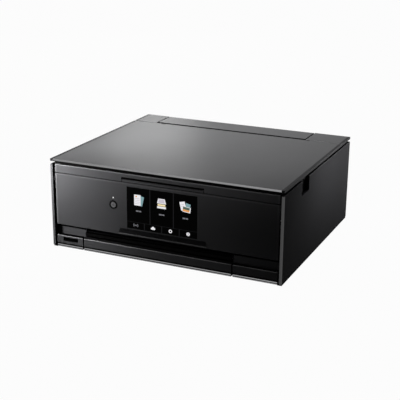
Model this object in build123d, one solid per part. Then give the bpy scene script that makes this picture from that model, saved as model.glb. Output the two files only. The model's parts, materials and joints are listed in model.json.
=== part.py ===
from build123d import *
import math
import os

# Driving dimensions, in millimetres. +X is the viewer's right, -Y the front, +Z up.
# The origin is on the table, under the middle of the printer.

# Whole printer
WIDTH = 372.0
DEPTH = 324.0
HEIGHT = 140.0

# Fits that several pieces share
SEAM = 0.4
CLEARANCE = 0.3
RUNNING_FIT = 0.05
MOULD_WALL = 2.2
STEEL_SHEET = 1.5

# Flat lid on top and the fixed strip behind it
LID_THICKNESS = 3.6
LID_GAP = 4.3
LID_BEVEL = 0.9
LID_REAR_GAP = 0.8
REAR_STRIP_DEPTH = 50.1
HINGE_ROD_RADIUS = 0.8
HINGE_EAR_WIDTH = 8.0
HINGE_ROOM = 1.0
FIXED_EAR_INSET = 14.0
SCANNER_EAR_INSET = 56.0

# Rear tray cover, in the rear strip
FLAP_LEFT_OVERHANG = 10.5
FLAP_RIGHT_OVERHANG = 14.5
FLAP_GAP = 1.6
FLAP_FRONT_GAP = 3.6
FLAP_PIN_LENGTH = 4.0

# Side covers
SIDE_THICKNESS = 3.7
SIDE_EDGE_BEVEL = 0.6
CORNER_CUT_WIDTH = 1.0
CORNER_CUT_DEPTH = 1.5
NOTCH_LENGTH = 32.0
NOTCH_HEIGHT = 22.0
NOTCH_FROM_FRONT = 77.0

# Front faces
SIDE_REVEAL = 3.0
FRONT_SETBACK = 1.5
FACE_SLOPE_WIDTH = 2.8
FACE_SLOPE_DEPTH = 0.9
STRIP_HEIGHT = 12.5
STRIP_DEPTH = 14.5
STRIP_EDGE_RADIUS = 1.4
FINGER_SLOT_WIDTH = 132.0
FINGER_SLOT_HEIGHT = 2.4
FINGER_SLOT_DEPTH = 10.0
FINGER_LIP_HEIGHT = 4.3
FINGER_LIP_END_GAP = 1.4

# Operation panel
PANEL_SEAM = 1.5
PANEL_PLATE = 4.0
PANEL_EDGE_RADIUS = 2.2
PANEL_BEVEL = 0.6
PANEL_PIN_RADIUS = 1.2
PANEL_PIN_LENGTH = 2.4
PANEL_BODY_DEPTH = 7.5
PANEL_BODY_INSET = 3.3
PANEL_BODY_WALL = 1.5
DISPLAY_X = -0.6
DISPLAY_WIDTH = 113.4
DISPLAY_DEPTH = 7.5
DISPLAY_RECESS = 0.2
DISPLAY_BOTTOM_MARGIN = 12.0
DISPLAY_TOP_MARGIN = 5.0
BUTTON_X = -80.0
BUTTON_FROM_BOTTOM = 44.8
BUTTON_HOLE_RADIUS = 6.2
BUTTON_CAP_RADIUS = 4.4
BUTTON_RING_RECESS = 0.8
BUTTON_FLANGE = 0.9
BUTTON_FLANGE_THICKNESS = 1.0
BUTTON_STEM_RADIUS = 2.0
BUTTON_TRAVEL = 0.8
LAMP_FROM_BUTTON = 11.1
LAMP_RADIUS = 1.0
GRIP_TOP_WIDTH = 139.0
GRIP_BOTTOM_WIDTH = 144.0
GRIP_TOP = 10.5
GRIP_NOSE = 3.4
GRIP_NOSE_HEIGHT = 1.0
GRIP_BOTTOM = 0.6

# Lower front blocks and the cassette between them
PAPER_X = -11.4
CASSETTE_SIDE_ROOM = 65.1
BLOCK_GAP = 2.2
BLOCK_TOP = 19.4
OUTPUT_OPENING = 17.5
BLOCK_FACE_DEPTH = 10.5
BLOCK_BODY_DEPTH = 24.5
BLOCK_EDGE_BEVEL = 0.8
FRONT_BOTTOM = 0.8
FRONT_LIP_TOP = 3.0
FRONT_GROOVE_BOTTOM = 5.0
FRONT_GROOVE_TOP = 6.2
FRONT_GROOVE_DEPTH = 1.6
SHOULDER_SETBACK = 8.0
SHOULDER_SIDE_GAP = 0.6
SHOULDER_GAP = 4.8
SHOULDER_PLATE = 2.4
SHOULDER_WALL = 2.5
SHOULDER_WALL_DEPTH = 55.0
TRAY_LEDGE_WIDTH = 4.0
TRAY_LEDGE_THICKNESS = 1.5
CARD_FROM_SIDE = 23.5
CARD_Z = 14.2
CARD_MOUTH_WIDTH = 25.6
CARD_MOUTH_HEIGHT = 5.2
CARD_MOUTH_DEPTH = 14.0
CARD_SLOT_HEIGHT = 2.6
CARD_SLOT_DEPTH = 22.0

# Bottom case, rear cover, feet and screws
FOOT_HEIGHT = 2.0
FOOT_RADIUS = 8.0
FOOT_INSET_X = 26.0
FOOT_INSET_Y = 24.0
CASE_FLOOR = 2.5
CASE_WALL = 2.5
CASE_RUNNER_HEIGHT = 0.5
CASE_RUNNER_WIDTH = 8.0
CASE_RUNNER_INSET = 20.9
CASE_WALL_DROP = 2.0
REST_POST_WIDTH = 5.8
REST_POST_LENGTH = 10.0
REST_POST_HEIGHT = 12.0
PANEL_EAR_RADIUS = 2.0
PANEL_EAR_DROP = 9.0
REAR_COVER_THICKNESS = 3.0
REAR_DOOR_HALF_WIDTH = 110.0
REAR_DOOR_BOTTOM = 14.0
REAR_DOOR_TOP = 78.0
REAR_GROOVE = 0.8
SCREW_INSET = 6.2
SCREW_LOW_Z = 12.0
SCREW_HIGH_Z = 80.0
SCREW_HEAD_RADIUS = 2.8
SCREW_HEAD_HEIGHT = 1.8
SCREW_RADIUS = 1.4
SCREW_LENGTH = 8.0
SCREW_RECESS_ROOM = 0.3
SCREW_BOSS_SIDE = 7.2
SCREW_BOSS_DEPTH = 10.0
NECK_WALL_DROP = 43.0
NECK_FRONT_HEIGHT = 18.0
NECK_FRONT_SETBACK = 1.6
NECK_REAR_INSET = 5.0

# Scanner unit
SCANNER_HEIGHT = 27.0
SCANNER_SIDE_GAP = 4.0
SCANNER_LEDGE = 2.7
SCANNER_FRAME = 3.0
GLASS_FROM_SIDE = 26.3
GLASS_FROM_FRONT = 28.9
GLASS_THICKNESS = 2.0
GLASS_LEDGE = 3.0
GLASS_FROM_REAR = 6.0
SCAN_ROD_RADIUS = 3.0
SCAN_ROD_HEIGHT = 8.0
SCAN_BAR_WIDTH = 16.0
SCAN_BAR_HEIGHT = 12.0
SCAN_BAR_END_GAP = 4.0
SCAN_SADDLE_WIDTH = 20.0
SCAN_SADDLE_LENGTH = 18.0
SCAN_HOME_GAP = 4.0

# Cassette and output tray
CASSETTE_REAR_ROOM = 11.0
CASSETTE_INSET = 1.4
CASSETTE_WALL = 2.0
CASSETTE_HEIGHT = 13.2
CASSETTE_PLAY = 0.2
CASSETTE_REAR_GAP = 48.0
PAPER_MARGIN = 15.9
GUIDE_WALL = 2.0
GUIDE_LENGTH = 90.0
GUIDE_HEIGHT = 11.5
GUIDE_FOOT = 20.0
GUIDE_FOOT_THICKNESS = 1.2
GUIDE_FROM_REAR = 60.0
OUTPUT_TRAY_Z = 24.6
OUTPUT_TRAY_THICKNESS = 2.4
OUTPUT_TRAY_LENGTH = 130.0
OUTPUT_TRAY_SETBACK = 10.5
OUTPUT_LIP_HEIGHT = 1.6
OUTPUT_LIP_DEPTH = 2.5
OUTPUT_TAB_CENTRE = 31.0
OUTPUT_TAB_WIDTH = 84.0
OUTPUT_TAB_REACH = 8.5
OUTPUT_TAB_SLIT = 2.0
OUTPUT_TAB_SLIT_X = 45.0

# Paper feed: rollers, gears and the motor that turns them
FEED_Y = 15.0
ROLLER_Z = 46.5
FEED_RADIUS = 5.5
FEED_SHAFT_RADIUS = 4.0
FEED_END_GAP = 6.9
EJECT_RADIUS = 4.5
EJECT_SHAFT_RADIUS = 2.5
EJECT_RINGS = 8
EJECT_RING_PITCH = 28.0
EJECT_RING_WIDTH = 9.0
PINCH_RADIUS = 4.0
PINCH_SHAFT_RADIUS = 1.5
PINCH_COUNT = 6
PINCH_PITCH = 36.0
PINCH_LENGTH = 24.0
PINCH_ARM = 3.0
PINCH_HOLDER_Z = 62.3
PINCH_HOLDER_PLATE = 1.7
PINCH_FLANGE_HEIGHT = 7.0
STAR_RADIUS = 5.0
STAR_ROOT_RADIUS = 3.6
STAR_POINTS = 12
STAR_THICKNESS = 0.8
STAR_SHAFT_RADIUS = 1.5
PAPER_GAP = 0.3
GEAR_MODULE = 1.0
GEAR_WIDTH = 4.5
GEAR_BACKLASH = 0.12
GEAR_ADDENDUM = 0.95
GEAR_DEDENDUM = 1.25
PRESSURE_ANGLE = 20.0
HALF_TURN = 180.0
FEED_TEETH = 33
IDLER_TEETH = 37
EJECT_TEETH = 27
PINION_TEETH = 18
GEAR_SIDE_GAP = 0.5
GEAR_AXLE_RADIUS = 2.0
MOTOR_SHAFT_RADIUS = 1.5
MOTOR_SHAFT_HOLE = 2.5
MOTOR_BORE_DEPTH = 8.0
FEED_MOTOR_RADIUS = 12.0
FEED_MOTOR_GAP = 9.0

# Chassis, rail, carriage and its drive
GEAR_ROOM = 7.3
CHASSIS_FRONT = 18.0
CHASSIS_REAR = 27.0
CHASSIS_DROP = 3.0
CHASSIS_BACK_Z = 56.0
BELT_RAIL_GAP = 2.0
RAIL_DEPTH = 10.0
RAIL_HEIGHT = 8.0
CARRIAGE_WIDTH = 86.0
CARRIAGE_END_GAP = 3.0
CARRIAGE_FRONT = 58.0
CARRIAGE_REAR = 9.0
CARRIAGE_Z = 66.0
CARRIAGE_WALL = 2.0
CARRIAGE_WALL_HEIGHT = 18.0
SLIDER_REACH = 6.0
SLIDER_HEIGHT = 7.2
TANK_COUNT = 6
TANK_GAP = 1.0
TANK_DROP = 4.0
TANK_LEVER_HEIGHT = 9.0
TANK_LEVER_DEPTH = 8.0
TANK_LEVER_SLOT = 3.0
HEAD_INSET = 6.0
HEAD_FRONT = 5.0
HEAD_LENGTH = 36.0
HEAD_GAP = 1.2
MOTOR_HEADROOM = 1.0
PULLEY_INSET = 11.0
BELT_INNER_RADIUS = 5.0
BELT_THICKNESS = 1.0
BELT_WIDTH = 4.0
BELT_FROM_BACK = 4.0
PULLEY_FLANGE_RADIUS = 6.6
PULLEY_FLANGE = 0.6
PULLEY_SIDE_GAP = 0.2
CARRIAGE_MOTOR_RADIUS = 10.5
CARRIAGE_MOTOR_LENGTH = 28.0
CLAMP_WIDTH = 20.0
CLAMP_WALL = 3.0
CLAMP_HEIGHT = 6.6
CLAMP_FINGER = 1.6
STRIP_SHEET = 0.3
ENCODER_HEIGHT = 7.0
ENCODER_DROP = 15.0
ENCODER_FROM_BACK = 15.0

# Print platen, purge station and waste ink
PLATEN_TOP = 51.0
PLATEN_BASE_Z = 44.0
PLATEN_BASE = 4.0
PLATEN_ROLLER_GAP = 2.5
PLATEN_RIBS = 11
PLATEN_RIB_PITCH = 20.0
PLATEN_RIB_WIDTH = 2.0
PURGE_LEFT_GAP = 0.1
PURGE_RIGHT_GAP = 5.0
PURGE_TOP = 46.0
PURGE_WALL = 6.0
CAP_HOLLOW = 2.8
CAP_STEM = 2.0
CAP_RIM = 2.0
CAP_TRAVEL = 4.0
WASTE_LEFT_GAP = 2.5
WASTE_FRONT = 75.0
WASTE_REAR = 25.0
WASTE_HEIGHT = 20.0

# Rear paper guide and pick-up arm
GUIDE_SIDE_ROOM = 7.1
GUIDE_CHEEK = 2.5
GUIDE_PLATE = 2.0
GUIDE_PLATE_Z = 48.0
GUIDE_FRONT = 9.0
GUIDE_CHEEK_FRONT = 29.0
GUIDE_CHEEK_STEP = 60.0
GUIDE_REAR_INSET = 10.0
CHUTE_TOP_DROP = 10.4
CHUTE_FOOT_Y = 49.0
TURN_RADIUS = 22.0
TURN_FLOOR = 24.0
TURN_TOP = 4.0
ARM_PIVOT_Y = 43.0
ARM_PIVOT_DROP = 5.0
ARM_SHAFT_RADIUS = 2.0
ARM_REACH_Y = 38.0
ARM_REACH_Z = 22.0
ARM_HALF_WIDTH = 18.0
ARM_CHEEK = 3.0
ARM_LUG = 3.0
ARM_LUG_LENGTH = 10.0
ARM_LUG_GAP = 1.0
ARM_BEAM_RADIUS = 3.5
PICK_RADIUS = 9.0
PICK_HALF_WIDTH = 14.0

# Power supply, board and rear sockets
SUPPLY_WIDTH = 34.5
SUPPLY_FRONT = 60.0
SUPPLY_REAR_GAP = 17.0
SUPPLY_HEIGHT = 65.0
INLET_WIDTH = 22.0
INLET_HEIGHT = 18.0
INLET_FROM_WALL = 8.0
INLET_Z = 18.0
INLET_DEPTH = 10.0
INLET_POLE_RADIUS = 4.2
INLET_POLE_PITCH = 8.6
INLET_WAIST = 6.0
INLET_PIN_RADIUS = 1.2
SOCKET_SETBACK = 0.5
BOARD_WIDTH = 56.0
BOARD_FRONT = 50.0
BOARD_Z = 30.0
BOARD_THICKNESS = 1.6
BOARD_POST_RADIUS = 3.0
BOARD_POST_INSET = 6.0
BOARD_WALL_GAP = 3.8
CHIP_SIDE = 22.0
CHIP_HEIGHT = 2.4
USB_FROM_WALL = 33.0
USB_WIDTH = 12.0
USB_HEIGHT = 11.0
USB_LENGTH = 28.0
USB_WALL = 1.6
USB_DEPTH = 10.0
USB_TONGUE_WIDTH = 5.6
USB_TONGUE_HEIGHT = 3.0
USB_TONGUE_SETBACK = 5.0

# Places that follow from the driving dimensions
half_width = WIDTH / 2
cassette_half = half_width - CASSETTE_SIDE_ROOM
cassette_left = PAPER_X - cassette_half
cassette_right = PAPER_X + cassette_half
y_front = -DEPTH / 2
y_back = DEPTH / 2
z_lid = HEIGHT - LID_THICKNESS
z_side_top = z_lid - LID_GAP
x_inner = half_width - SIDE_THICKNESS
x_face = x_inner - SIDE_REVEAL
y_face = y_front + FRONT_SETBACK
z_strip = z_side_top - STRIP_HEIGHT
z_panel_top = z_strip - PANEL_SEAM
z_panel = BLOCK_TOP + OUTPUT_OPENING
y_panel_back = y_face + PANEL_PLATE
y_seam = y_back - REAR_STRIP_DEPTH
hinge_radius = LID_THICKNESS / 2
hinge_y = y_seam - LID_REAR_GAP - hinge_radius
hinge_z = z_lid + hinge_radius
flap_hinge_y = y_back - hinge_radius
flap_left = cassette_left - FLAP_LEFT_OVERHANG
flap_right = cassette_right + FLAP_RIGHT_OVERHANG
panel_axis_y = y_face + PANEL_EDGE_RADIUS
panel_axis_z = z_panel_top - PANEL_EDGE_RADIUS
z_display = z_panel + DISPLAY_BOTTOM_MARGIN
z_display_top = z_panel_top - DISPLAY_TOP_MARGIN
z_button = z_panel + BUTTON_FROM_BOTTOM
y_case = y_face + BLOCK_FACE_DEPTH
z_floor = FOOT_HEIGHT + CASE_FLOOR
x_wall = x_inner - CASE_WALL
y_rear_cover = y_back - REAR_COVER_THICKNESS
z_scanner = z_side_top - SCANNER_HEIGHT
z_frame = z_side_top - SCANNER_FRAME
x_scanner = x_inner - SCANNER_SIDE_GAP
y_scanner = y_face + STRIP_DEPTH
y_scanner_back = hinge_y - hinge_radius - HINGE_ROOM
y_glass_back = y_scanner_back - GLASS_FROM_REAR
y_glass = y_scanner + GLASS_FROM_FRONT
glass_half = x_scanner - GLASS_FROM_SIDE
tray_left = cassette_left + CASSETTE_INSET
tray_right = cassette_right - CASSETTE_INSET
y_cassette = y_case - HINGE_ROOM
y_cassette_back = y_rear_cover - CASSETTE_REAR_ROOM
z_cassette = z_floor + CASE_RUNNER_HEIGHT + CASSETTE_PLAY
chassis_out = x_wall - GEAR_ROOM
chassis_in = chassis_out - STEEL_SHEET
eject_y = FEED_Y - GEAR_MODULE * (FEED_TEETH + 2 * IDLER_TEETH + EJECT_TEETH) / 2
idler_y = FEED_Y - GEAR_MODULE * (FEED_TEETH + IDLER_TEETH) / 2
pinion_z = ROLLER_Z - GEAR_MODULE * (FEED_TEETH + PINION_TEETH) / 2
gear_left = -chassis_out - GEAR_SIDE_GAP - GEAR_WIDTH
z_chassis_top = z_scanner - CHASSIS_DROP
y_chassis = FEED_Y + CHASSIS_REAR
pinch_z = ROLLER_Z + FEED_RADIUS + PAPER_GAP + PINCH_RADIUS
star_z = ROLLER_Z + EJECT_RADIUS + PAPER_GAP + STAR_RADIUS
carriage_right = chassis_in - CARRIAGE_END_GAP
carriage_left = carriage_right - CARRIAGE_WIDTH
carriage_x = (carriage_left + carriage_right) / 2
y_carriage = FEED_Y - CARRIAGE_FRONT
y_carriage_back = FEED_Y + CARRIAGE_REAR
pulley_x = chassis_in - PULLEY_INSET
y_belt_back = y_chassis - BELT_FROM_BACK
y_belt = y_belt_back - BELT_WIDTH
rail_lip_y = y_chassis - RAIL_DEPTH
z_pulley = z_scanner - MOTOR_HEADROOM - CARRIAGE_MOTOR_RADIUS
z_rail_top = z_pulley - BELT_INNER_RADIUS - BELT_THICKNESS - BELT_RAIL_GAP
z_rail = z_rail_top - RAIL_HEIGHT
z_slider = z_rail + STEEL_SHEET + CLEARANCE
z_head = PLATEN_TOP + HEAD_GAP
y_head = y_carriage + HEAD_FRONT
purge_left = cassette_right + PURGE_LEFT_GAP
purge_right = chassis_in - PURGE_RIGHT_GAP
y_platen = eject_y + EJECT_RADIUS + PLATEN_ROLLER_GAP
y_platen_back = FEED_Y - FEED_RADIUS - PLATEN_ROLLER_GAP
z_waste_top = z_floor + WASTE_HEIGHT
guide_left = cassette_left - GUIDE_SIDE_ROOM
guide_right = cassette_right + GUIDE_SIDE_ROOM
y_guide_back = y_back - GUIDE_REAR_INSET
z_chute = z_lid - CHUTE_TOP_DROP
arm_y = FEED_Y + ARM_PIVOT_Y
arm_z = GUIDE_PLATE_Z - ARM_PIVOT_DROP
pick_y = arm_y + ARM_REACH_Y
pick_z = arm_z - ARM_REACH_Z
y_supply_back = y_back - SUPPLY_REAR_GAP
x_board = x_wall - BOARD_WALL_GAP
z_board_top = BOARD_Z + BOARD_THICKNESS
y_socket = y_back - SOCKET_SETBACK


def block(x, y, z):
    """A box between two values on each axis."""
    size = (x[1] - x[0], y[1] - y[0], z[1] - z[0])
    middle = ((x[0] + x[1]) / 2, (y[0] + y[1]) / 2, (z[0] + z[1]) / 2)
    return Pos(*middle) * Box(*size)


def rod_x(x, y, z, radius):
    return Pos((x[0] + x[1]) / 2, y, z) * Rot(0, 90, 0) * Cylinder(radius, x[1] - x[0])


def rod_y(x, y, z, radius):
    return Pos(x, (y[0] + y[1]) / 2, z) * Rot(90, 0, 0) * Cylinder(radius, y[1] - y[0])


def rod_z(x, y, z, radius):
    return Pos(x, y, (z[0] + z[1]) / 2) * Cylinder(radius, z[1] - z[0])


def prism_x(points, x):
    """Extrude an outline of (y, z) points along X."""
    plane = Plane(origin=(x[0], 0, 0), x_dir=(0, 1, 0), z_dir=(1, 0, 0))
    return extrude(plane * make_face(Polyline(*points, close=True)), amount=x[1] - x[0])


def prism_y(points, y):
    """Extrude an outline of (x, z) points along Y."""
    plane = Plane(origin=(0, y[1], 0), x_dir=(1, 0, 0), z_dir=(0, -1, 0))
    return extrude(plane * make_face(Polyline(*points, close=True)), amount=y[1] - y[0])


def prism_z(points, z):
    """Extrude an outline of (x, y) points along Z."""
    return extrude(Plane.XY.offset(z[0]) * make_face(Polyline(*points, close=True)), amount=z[1] - z[0])


def both_sides(make):
    """The same feature at the right (+1) and the left (-1)."""
    return make(1) + make(-1)


def across(side, inner, outer):
    """An X span between two distances from the middle, on one side."""
    return (inner, outer) if side > 0 else (-outer, -inner)


def around(middle, half):
    return (middle - half, middle + half)


def corner_wedges(x, y, width, depth, z):
    """What slanted cuts take off the two upright front corners of a piece."""
    return both_sides(lambda s: prism_z([(s * x, y), (s * (x - width), y), (s * x, y + depth)], z))


def spaced(count, pitch):
    """Evenly spaced places about zero."""
    return [(i - (count - 1) / 2) * pitch for i in range(count)]


# Top: lid, rear strip, flap and the hinge rod

def hinge_edge_plate(x, y_from, axis_y):
    """A flat lid plate whose rear edge is a half round about its hinge axis."""
    plate = block(x, (y_from, axis_y), (z_lid, HEIGHT))
    return plate + rod_x(x, axis_y, hinge_z, hinge_radius)


def ear_places():
    fixed = half_width - FIXED_EAR_INSET
    on_scanner = half_width - SCANNER_EAR_INSET
    return [-fixed, -on_scanner, on_scanner, fixed]


def document_cover():
    lid = hinge_edge_plate((-half_width, half_width), y_front, hinge_y)
    lid -= corner_wedges(half_width, y_front, CORNER_CUT_WIDTH, CORNER_CUT_DEPTH, (z_lid, HEIGHT))
    top = lid.edges().filter_by(GeomType.LINE).group_by(Axis.Z)[-1]
    rim = [e for e in top if e.center().Y < hinge_y - CLEARANCE]
    lid = chamfer(rim, LID_BEVEL)
    notch_front = hinge_y - hinge_radius - SEAM
    for x in ear_places():
        span = around(x, HINGE_EAR_WIDTH / 2 + CLEARANCE)
        lid -= block(span, (notch_front, y_seam), (z_lid - LID_GAP, HEIGHT + LID_GAP))
    bore = half_width - FIXED_EAR_INSET + HINGE_EAR_WIDTH
    return lid - rod_x((-bore, bore), hinge_y, hinge_z, HINGE_ROD_RADIUS + RUNNING_FIT)


def backing_plate():
    inset = GLASS_LEDGE
    x = glass_half - inset
    y = (y_glass + inset, y_glass_back - inset)
    return block((-x, x), y, (z_side_top + CLEARANCE, z_lid))


def hinge_ear(x, y, z_foot):
    """An ear that stands up to the hinge axis, with a foot that runs to y."""
    span = around(x, HINGE_EAR_WIDTH / 2)
    low = min(y, hinge_y - hinge_radius)
    high = max(y, hinge_y + hinge_radius)
    ear = rod_x(span, hinge_y, hinge_z, hinge_radius)
    ear += block(span, around(hinge_y, hinge_radius), (z_foot, hinge_z))
    ear += block(span, (low, high), (z_foot, z_side_top))
    return ear - rod_x(span, hinge_y, hinge_z, HINGE_ROD_RADIUS + RUNNING_FIT)


def hinge_rod():
    reach = half_width - FIXED_EAR_INSET + HINGE_EAR_WIDTH / 2
    return rod_x((-reach, reach), hinge_y, hinge_z, HINGE_ROD_RADIUS)


def rear_top_cover():
    front = y_seam + NECK_FRONT_SETBACK
    rear = y_back - NECK_REAR_INSET
    left_end = flap_left - FLAP_GAP
    right_end = flap_right + FLAP_GAP
    foot = z_lid - NECK_WALL_DROP
    cover = block((-half_width, left_end), (y_seam, y_back), (z_lid, HEIGHT))
    cover += block((right_end, half_width), (y_seam, y_back), (z_lid, HEIGHT))
    cover += block((-x_wall, x_wall), (front, front + MOULD_WALL), (z_lid - NECK_FRONT_HEIGHT, z_lid))
    rear_wall = (rear - MOULD_WALL, rear)
    cover += block((-x_wall, x_wall), rear_wall, (z_lid - NECK_FRONT_HEIGHT, z_lid))
    cover += both_sides(
        lambda s: block(across(s, x_wall - MOULD_WALL, x_wall), (front, rear), (foot, z_lid)))
    for end, way in ((left_end, -1), (right_end, 1)):
        span = sorted((end, end + way * MOULD_WALL))
        cover += block(span, (front, rear), (z_lid - NECK_FRONT_HEIGHT, z_lid))
    cover -= block((left_end, right_end), (y_seam, y_back), (z_lid - CLEARANCE, HEIGHT))
    pin = HINGE_ROD_RADIUS
    cover += rod_x((left_end - FLAP_GAP, flap_left + FLAP_PIN_LENGTH), flap_hinge_y, hinge_z, pin)
    cover += rod_x((flap_right - FLAP_PIN_LENGTH, right_end + FLAP_GAP), flap_hinge_y, hinge_z, pin)
    for x in (ear_places()[0], ear_places()[-1]):
        cover += hinge_ear(x, front + MOULD_WALL, z_lid - NECK_FRONT_HEIGHT / 2)
    return cover


def rear_tray_cover():
    flap = hinge_edge_plate((flap_left, flap_right), y_seam + FLAP_FRONT_GAP, flap_hinge_y)
    hole = HINGE_ROD_RADIUS + RUNNING_FIT
    depth = FLAP_PIN_LENGTH + CLEARANCE
    flap -= rod_x((flap_left, flap_left + depth), flap_hinge_y, hinge_z, hole)
    return flap - rod_x((flap_right - depth, flap_right), flap_hinge_y, hinge_z, hole)


# Sides, base and back

def side_cover(side):
    z = (FOOT_HEIGHT, z_side_top)
    plate = block(across(side, x_inner, half_width), (y_front, y_back), z)
    plate -= corner_wedges(half_width, y_front, CORNER_CUT_WIDTH, CORNER_CUT_DEPTH, z)
    outer = plate.faces().sort_by(Axis.X)[-1 if side > 0 else 0]
    plate = chamfer(outer.edges(), SIDE_EDGE_BEVEL)
    notch_y = y_front + NOTCH_FROM_FRONT
    span = across(side, x_inner - CLEARANCE, half_width + CLEARANCE)
    notch = (z_side_top - NOTCH_HEIGHT, z_side_top + CLEARANCE)
    return plate - block(span, (notch_y, notch_y + NOTCH_LENGTH), notch)


def left_side_cover():
    return side_cover(-1)


def right_side_cover():
    return side_cover(1)


def screw_places():
    x = x_inner - SCREW_INSET
    return [(-x, SCREW_LOW_Z), (x, SCREW_LOW_Z), (-x, SCREW_HIGH_Z), (x, SCREW_HIGH_Z)]


def bottom_case():
    floor_z = (FOOT_HEIGHT, z_floor)
    wall_top = z_scanner - CASE_WALL_DROP
    case = block((-x_inner, x_inner), (y_case, y_rear_cover), floor_z)
    wall_z = (FOOT_HEIGHT, wall_top)
    case += both_sides(lambda s: block(across(s, x_wall, x_inner), (y_case, y_rear_cover), wall_z))
    runner_z = (FOOT_HEIGHT, z_floor + CASE_RUNNER_HEIGHT)
    for x in (cassette_left + CASE_RUNNER_INSET, cassette_right - CASE_RUNNER_INSET):
        span = around(x, CASE_RUNNER_WIDTH / 2)
        case += block(span, (y_case, y_cassette_back), runner_z)
    post_z = (wall_top - REST_POST_HEIGHT, z_scanner - CLEARANCE)
    for y in (y_scanner, y_scanner_back - REST_POST_LENGTH):
        span_y = (y, y + REST_POST_LENGTH)
        case += both_sides(lambda s: block(across(s, x_wall - REST_POST_WIDTH, x_wall), span_y, post_z))
    ear_y = (panel_axis_y - PANEL_EAR_RADIUS, y_case)
    ear_z = (panel_axis_z - PANEL_EAR_DROP, panel_axis_z + PANEL_EAR_RADIUS)
    ear_root = (y_case, y_case + PANEL_EAR_DROP)
    case += both_sides(lambda s: block(across(s, x_wall, x_inner), ear_y, ear_z))
    case += both_sides(lambda s: block(across(s, x_wall, x_inner), ear_root, (wall_top, ear_z[1])))
    bore = PANEL_PIN_RADIUS + RUNNING_FIT
    case -= both_sides(lambda s: rod_x(across(s, x_wall, x_inner), panel_axis_y, panel_axis_z, bore))
    boss_y = (y_rear_cover - SCREW_BOSS_DEPTH, y_rear_cover)
    for x, z in screw_places():
        case += block(across(x, x_wall - SCREW_BOSS_SIDE, x_wall), boss_y, around(z, SCREW_BOSS_SIDE / 2))
    for x, z in screw_places():
        case -= rod_y(x, boss_y, z, SCREW_RADIUS + RUNNING_FIT)
    inner = x_board - BOARD_WIDTH + BOARD_POST_INSET
    for x in (inner, x_board - BOARD_POST_INSET):
        for y in (BOARD_FRONT + BOARD_POST_INSET, y_supply_back - BOARD_POST_INSET):
            case += rod_z(x, y, (FOOT_HEIGHT, BOARD_Z), BOARD_POST_RADIUS)
    return case


def rear_cover():
    x = x_inner - CLEARANCE
    cover = block((-x, x), (y_rear_cover, y_back), (FOOT_HEIGHT, z_side_top))
    door = block((-REAR_DOOR_HALF_WIDTH, REAR_DOOR_HALF_WIDTH), (y_back - REAR_GROOVE, y_back),
                 (REAR_DOOR_BOTTOM, REAR_DOOR_TOP))
    inner = REAR_DOOR_HALF_WIDTH - REAR_GROOVE
    door -= block((-inner, inner), (y_back - REAR_GROOVE, y_back),
                  (REAR_DOOR_BOTTOM + REAR_GROOVE, REAR_DOOR_TOP - REAR_GROOVE))
    cover -= door
    through = (y_rear_cover, y_back)
    for span_x, span_z in (inlet_outline(), usb_outline()):
        cover -= block((span_x[0] - CLEARANCE, span_x[1] + CLEARANCE), through,
                       (span_z[0] - CLEARANCE, span_z[1] + CLEARANCE))
    head_y = (y_back - SCREW_HEAD_HEIGHT, y_back)
    for x, z in screw_places():
        cover -= rod_y(x, head_y, z, SCREW_HEAD_RADIUS + SCREW_RECESS_ROOM)
        cover -= rod_y(x, through, z, SCREW_RADIUS + SCREW_RECESS_ROOM)
    return cover


def case_screws():
    head_y = (y_back - SCREW_HEAD_HEIGHT, y_back)
    shank_y = (head_y[0] - SCREW_LENGTH, head_y[0])
    return Compound(children=[
        rod_y(x, head_y, z, SCREW_HEAD_RADIUS) + rod_y(x, shank_y, z, SCREW_RADIUS)
        for x, z in screw_places()])


def feet():
    x = half_width - FOOT_INSET_X
    y = DEPTH / 2 - FOOT_INSET_Y
    places = [(-x, -y), (x, -y), (-x, y), (x, y)]
    return Compound(children=[rod_z(px, py, (0, FOOT_HEIGHT), FOOT_RADIUS) for px, py in places])


# Lower front: card slot block, right block, cassette

def front_face(x, depth):
    """The outline that the three lower front faces share: bevelled top, groove and base lip."""
    deep = y_face + depth
    groove = y_face + FRONT_GROOVE_DEPTH
    return prism_x([
        (deep, FRONT_BOTTOM), (y_face, FRONT_BOTTOM), (y_face, FRONT_LIP_TOP), (groove, FRONT_GROOVE_BOTTOM),
        (groove, FRONT_GROOVE_TOP), (y_face, FRONT_GROOVE_TOP), (y_face, BLOCK_TOP - BLOCK_EDGE_BEVEL),
        (y_face + BLOCK_EDGE_BEVEL, BLOCK_TOP), (deep, BLOCK_TOP)], x)


def front_block(side):
    """A fixed block beside the cassette, with the set back shoulder of the output opening on it."""
    edge = cassette_right if side > 0 else -cassette_left
    x = across(side, edge + BLOCK_GAP, x_face)
    piece = front_face(x, BLOCK_FACE_DEPTH)
    piece += block(x, (y_case, y_face + BLOCK_BODY_DEPTH), (z_floor, BLOCK_TOP))
    shoulder_y = y_face + SHOULDER_SETBACK
    shoulder_z = (BLOCK_TOP, z_panel - SHOULDER_GAP)
    inner = edge + SEAM
    piece += block(across(side, inner, x_inner - SHOULDER_SIDE_GAP), (shoulder_y, shoulder_y + SHOULDER_PLATE),
                   shoulder_z)
    wall_y = (shoulder_y, shoulder_y + SHOULDER_WALL_DEPTH)
    piece += block(across(side, inner, inner + SHOULDER_WALL), wall_y, shoulder_z)
    ledge_y = (y_case + OUTPUT_LIP_DEPTH, wall_y[1])
    ledge_z = (OUTPUT_TRAY_Z - CLEARANCE - TRAY_LEDGE_THICKNESS, OUTPUT_TRAY_Z - CLEARANCE)
    return piece + block(across(side, inner - TRAY_LEDGE_WIDTH, inner), ledge_y, ledge_z)


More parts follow.
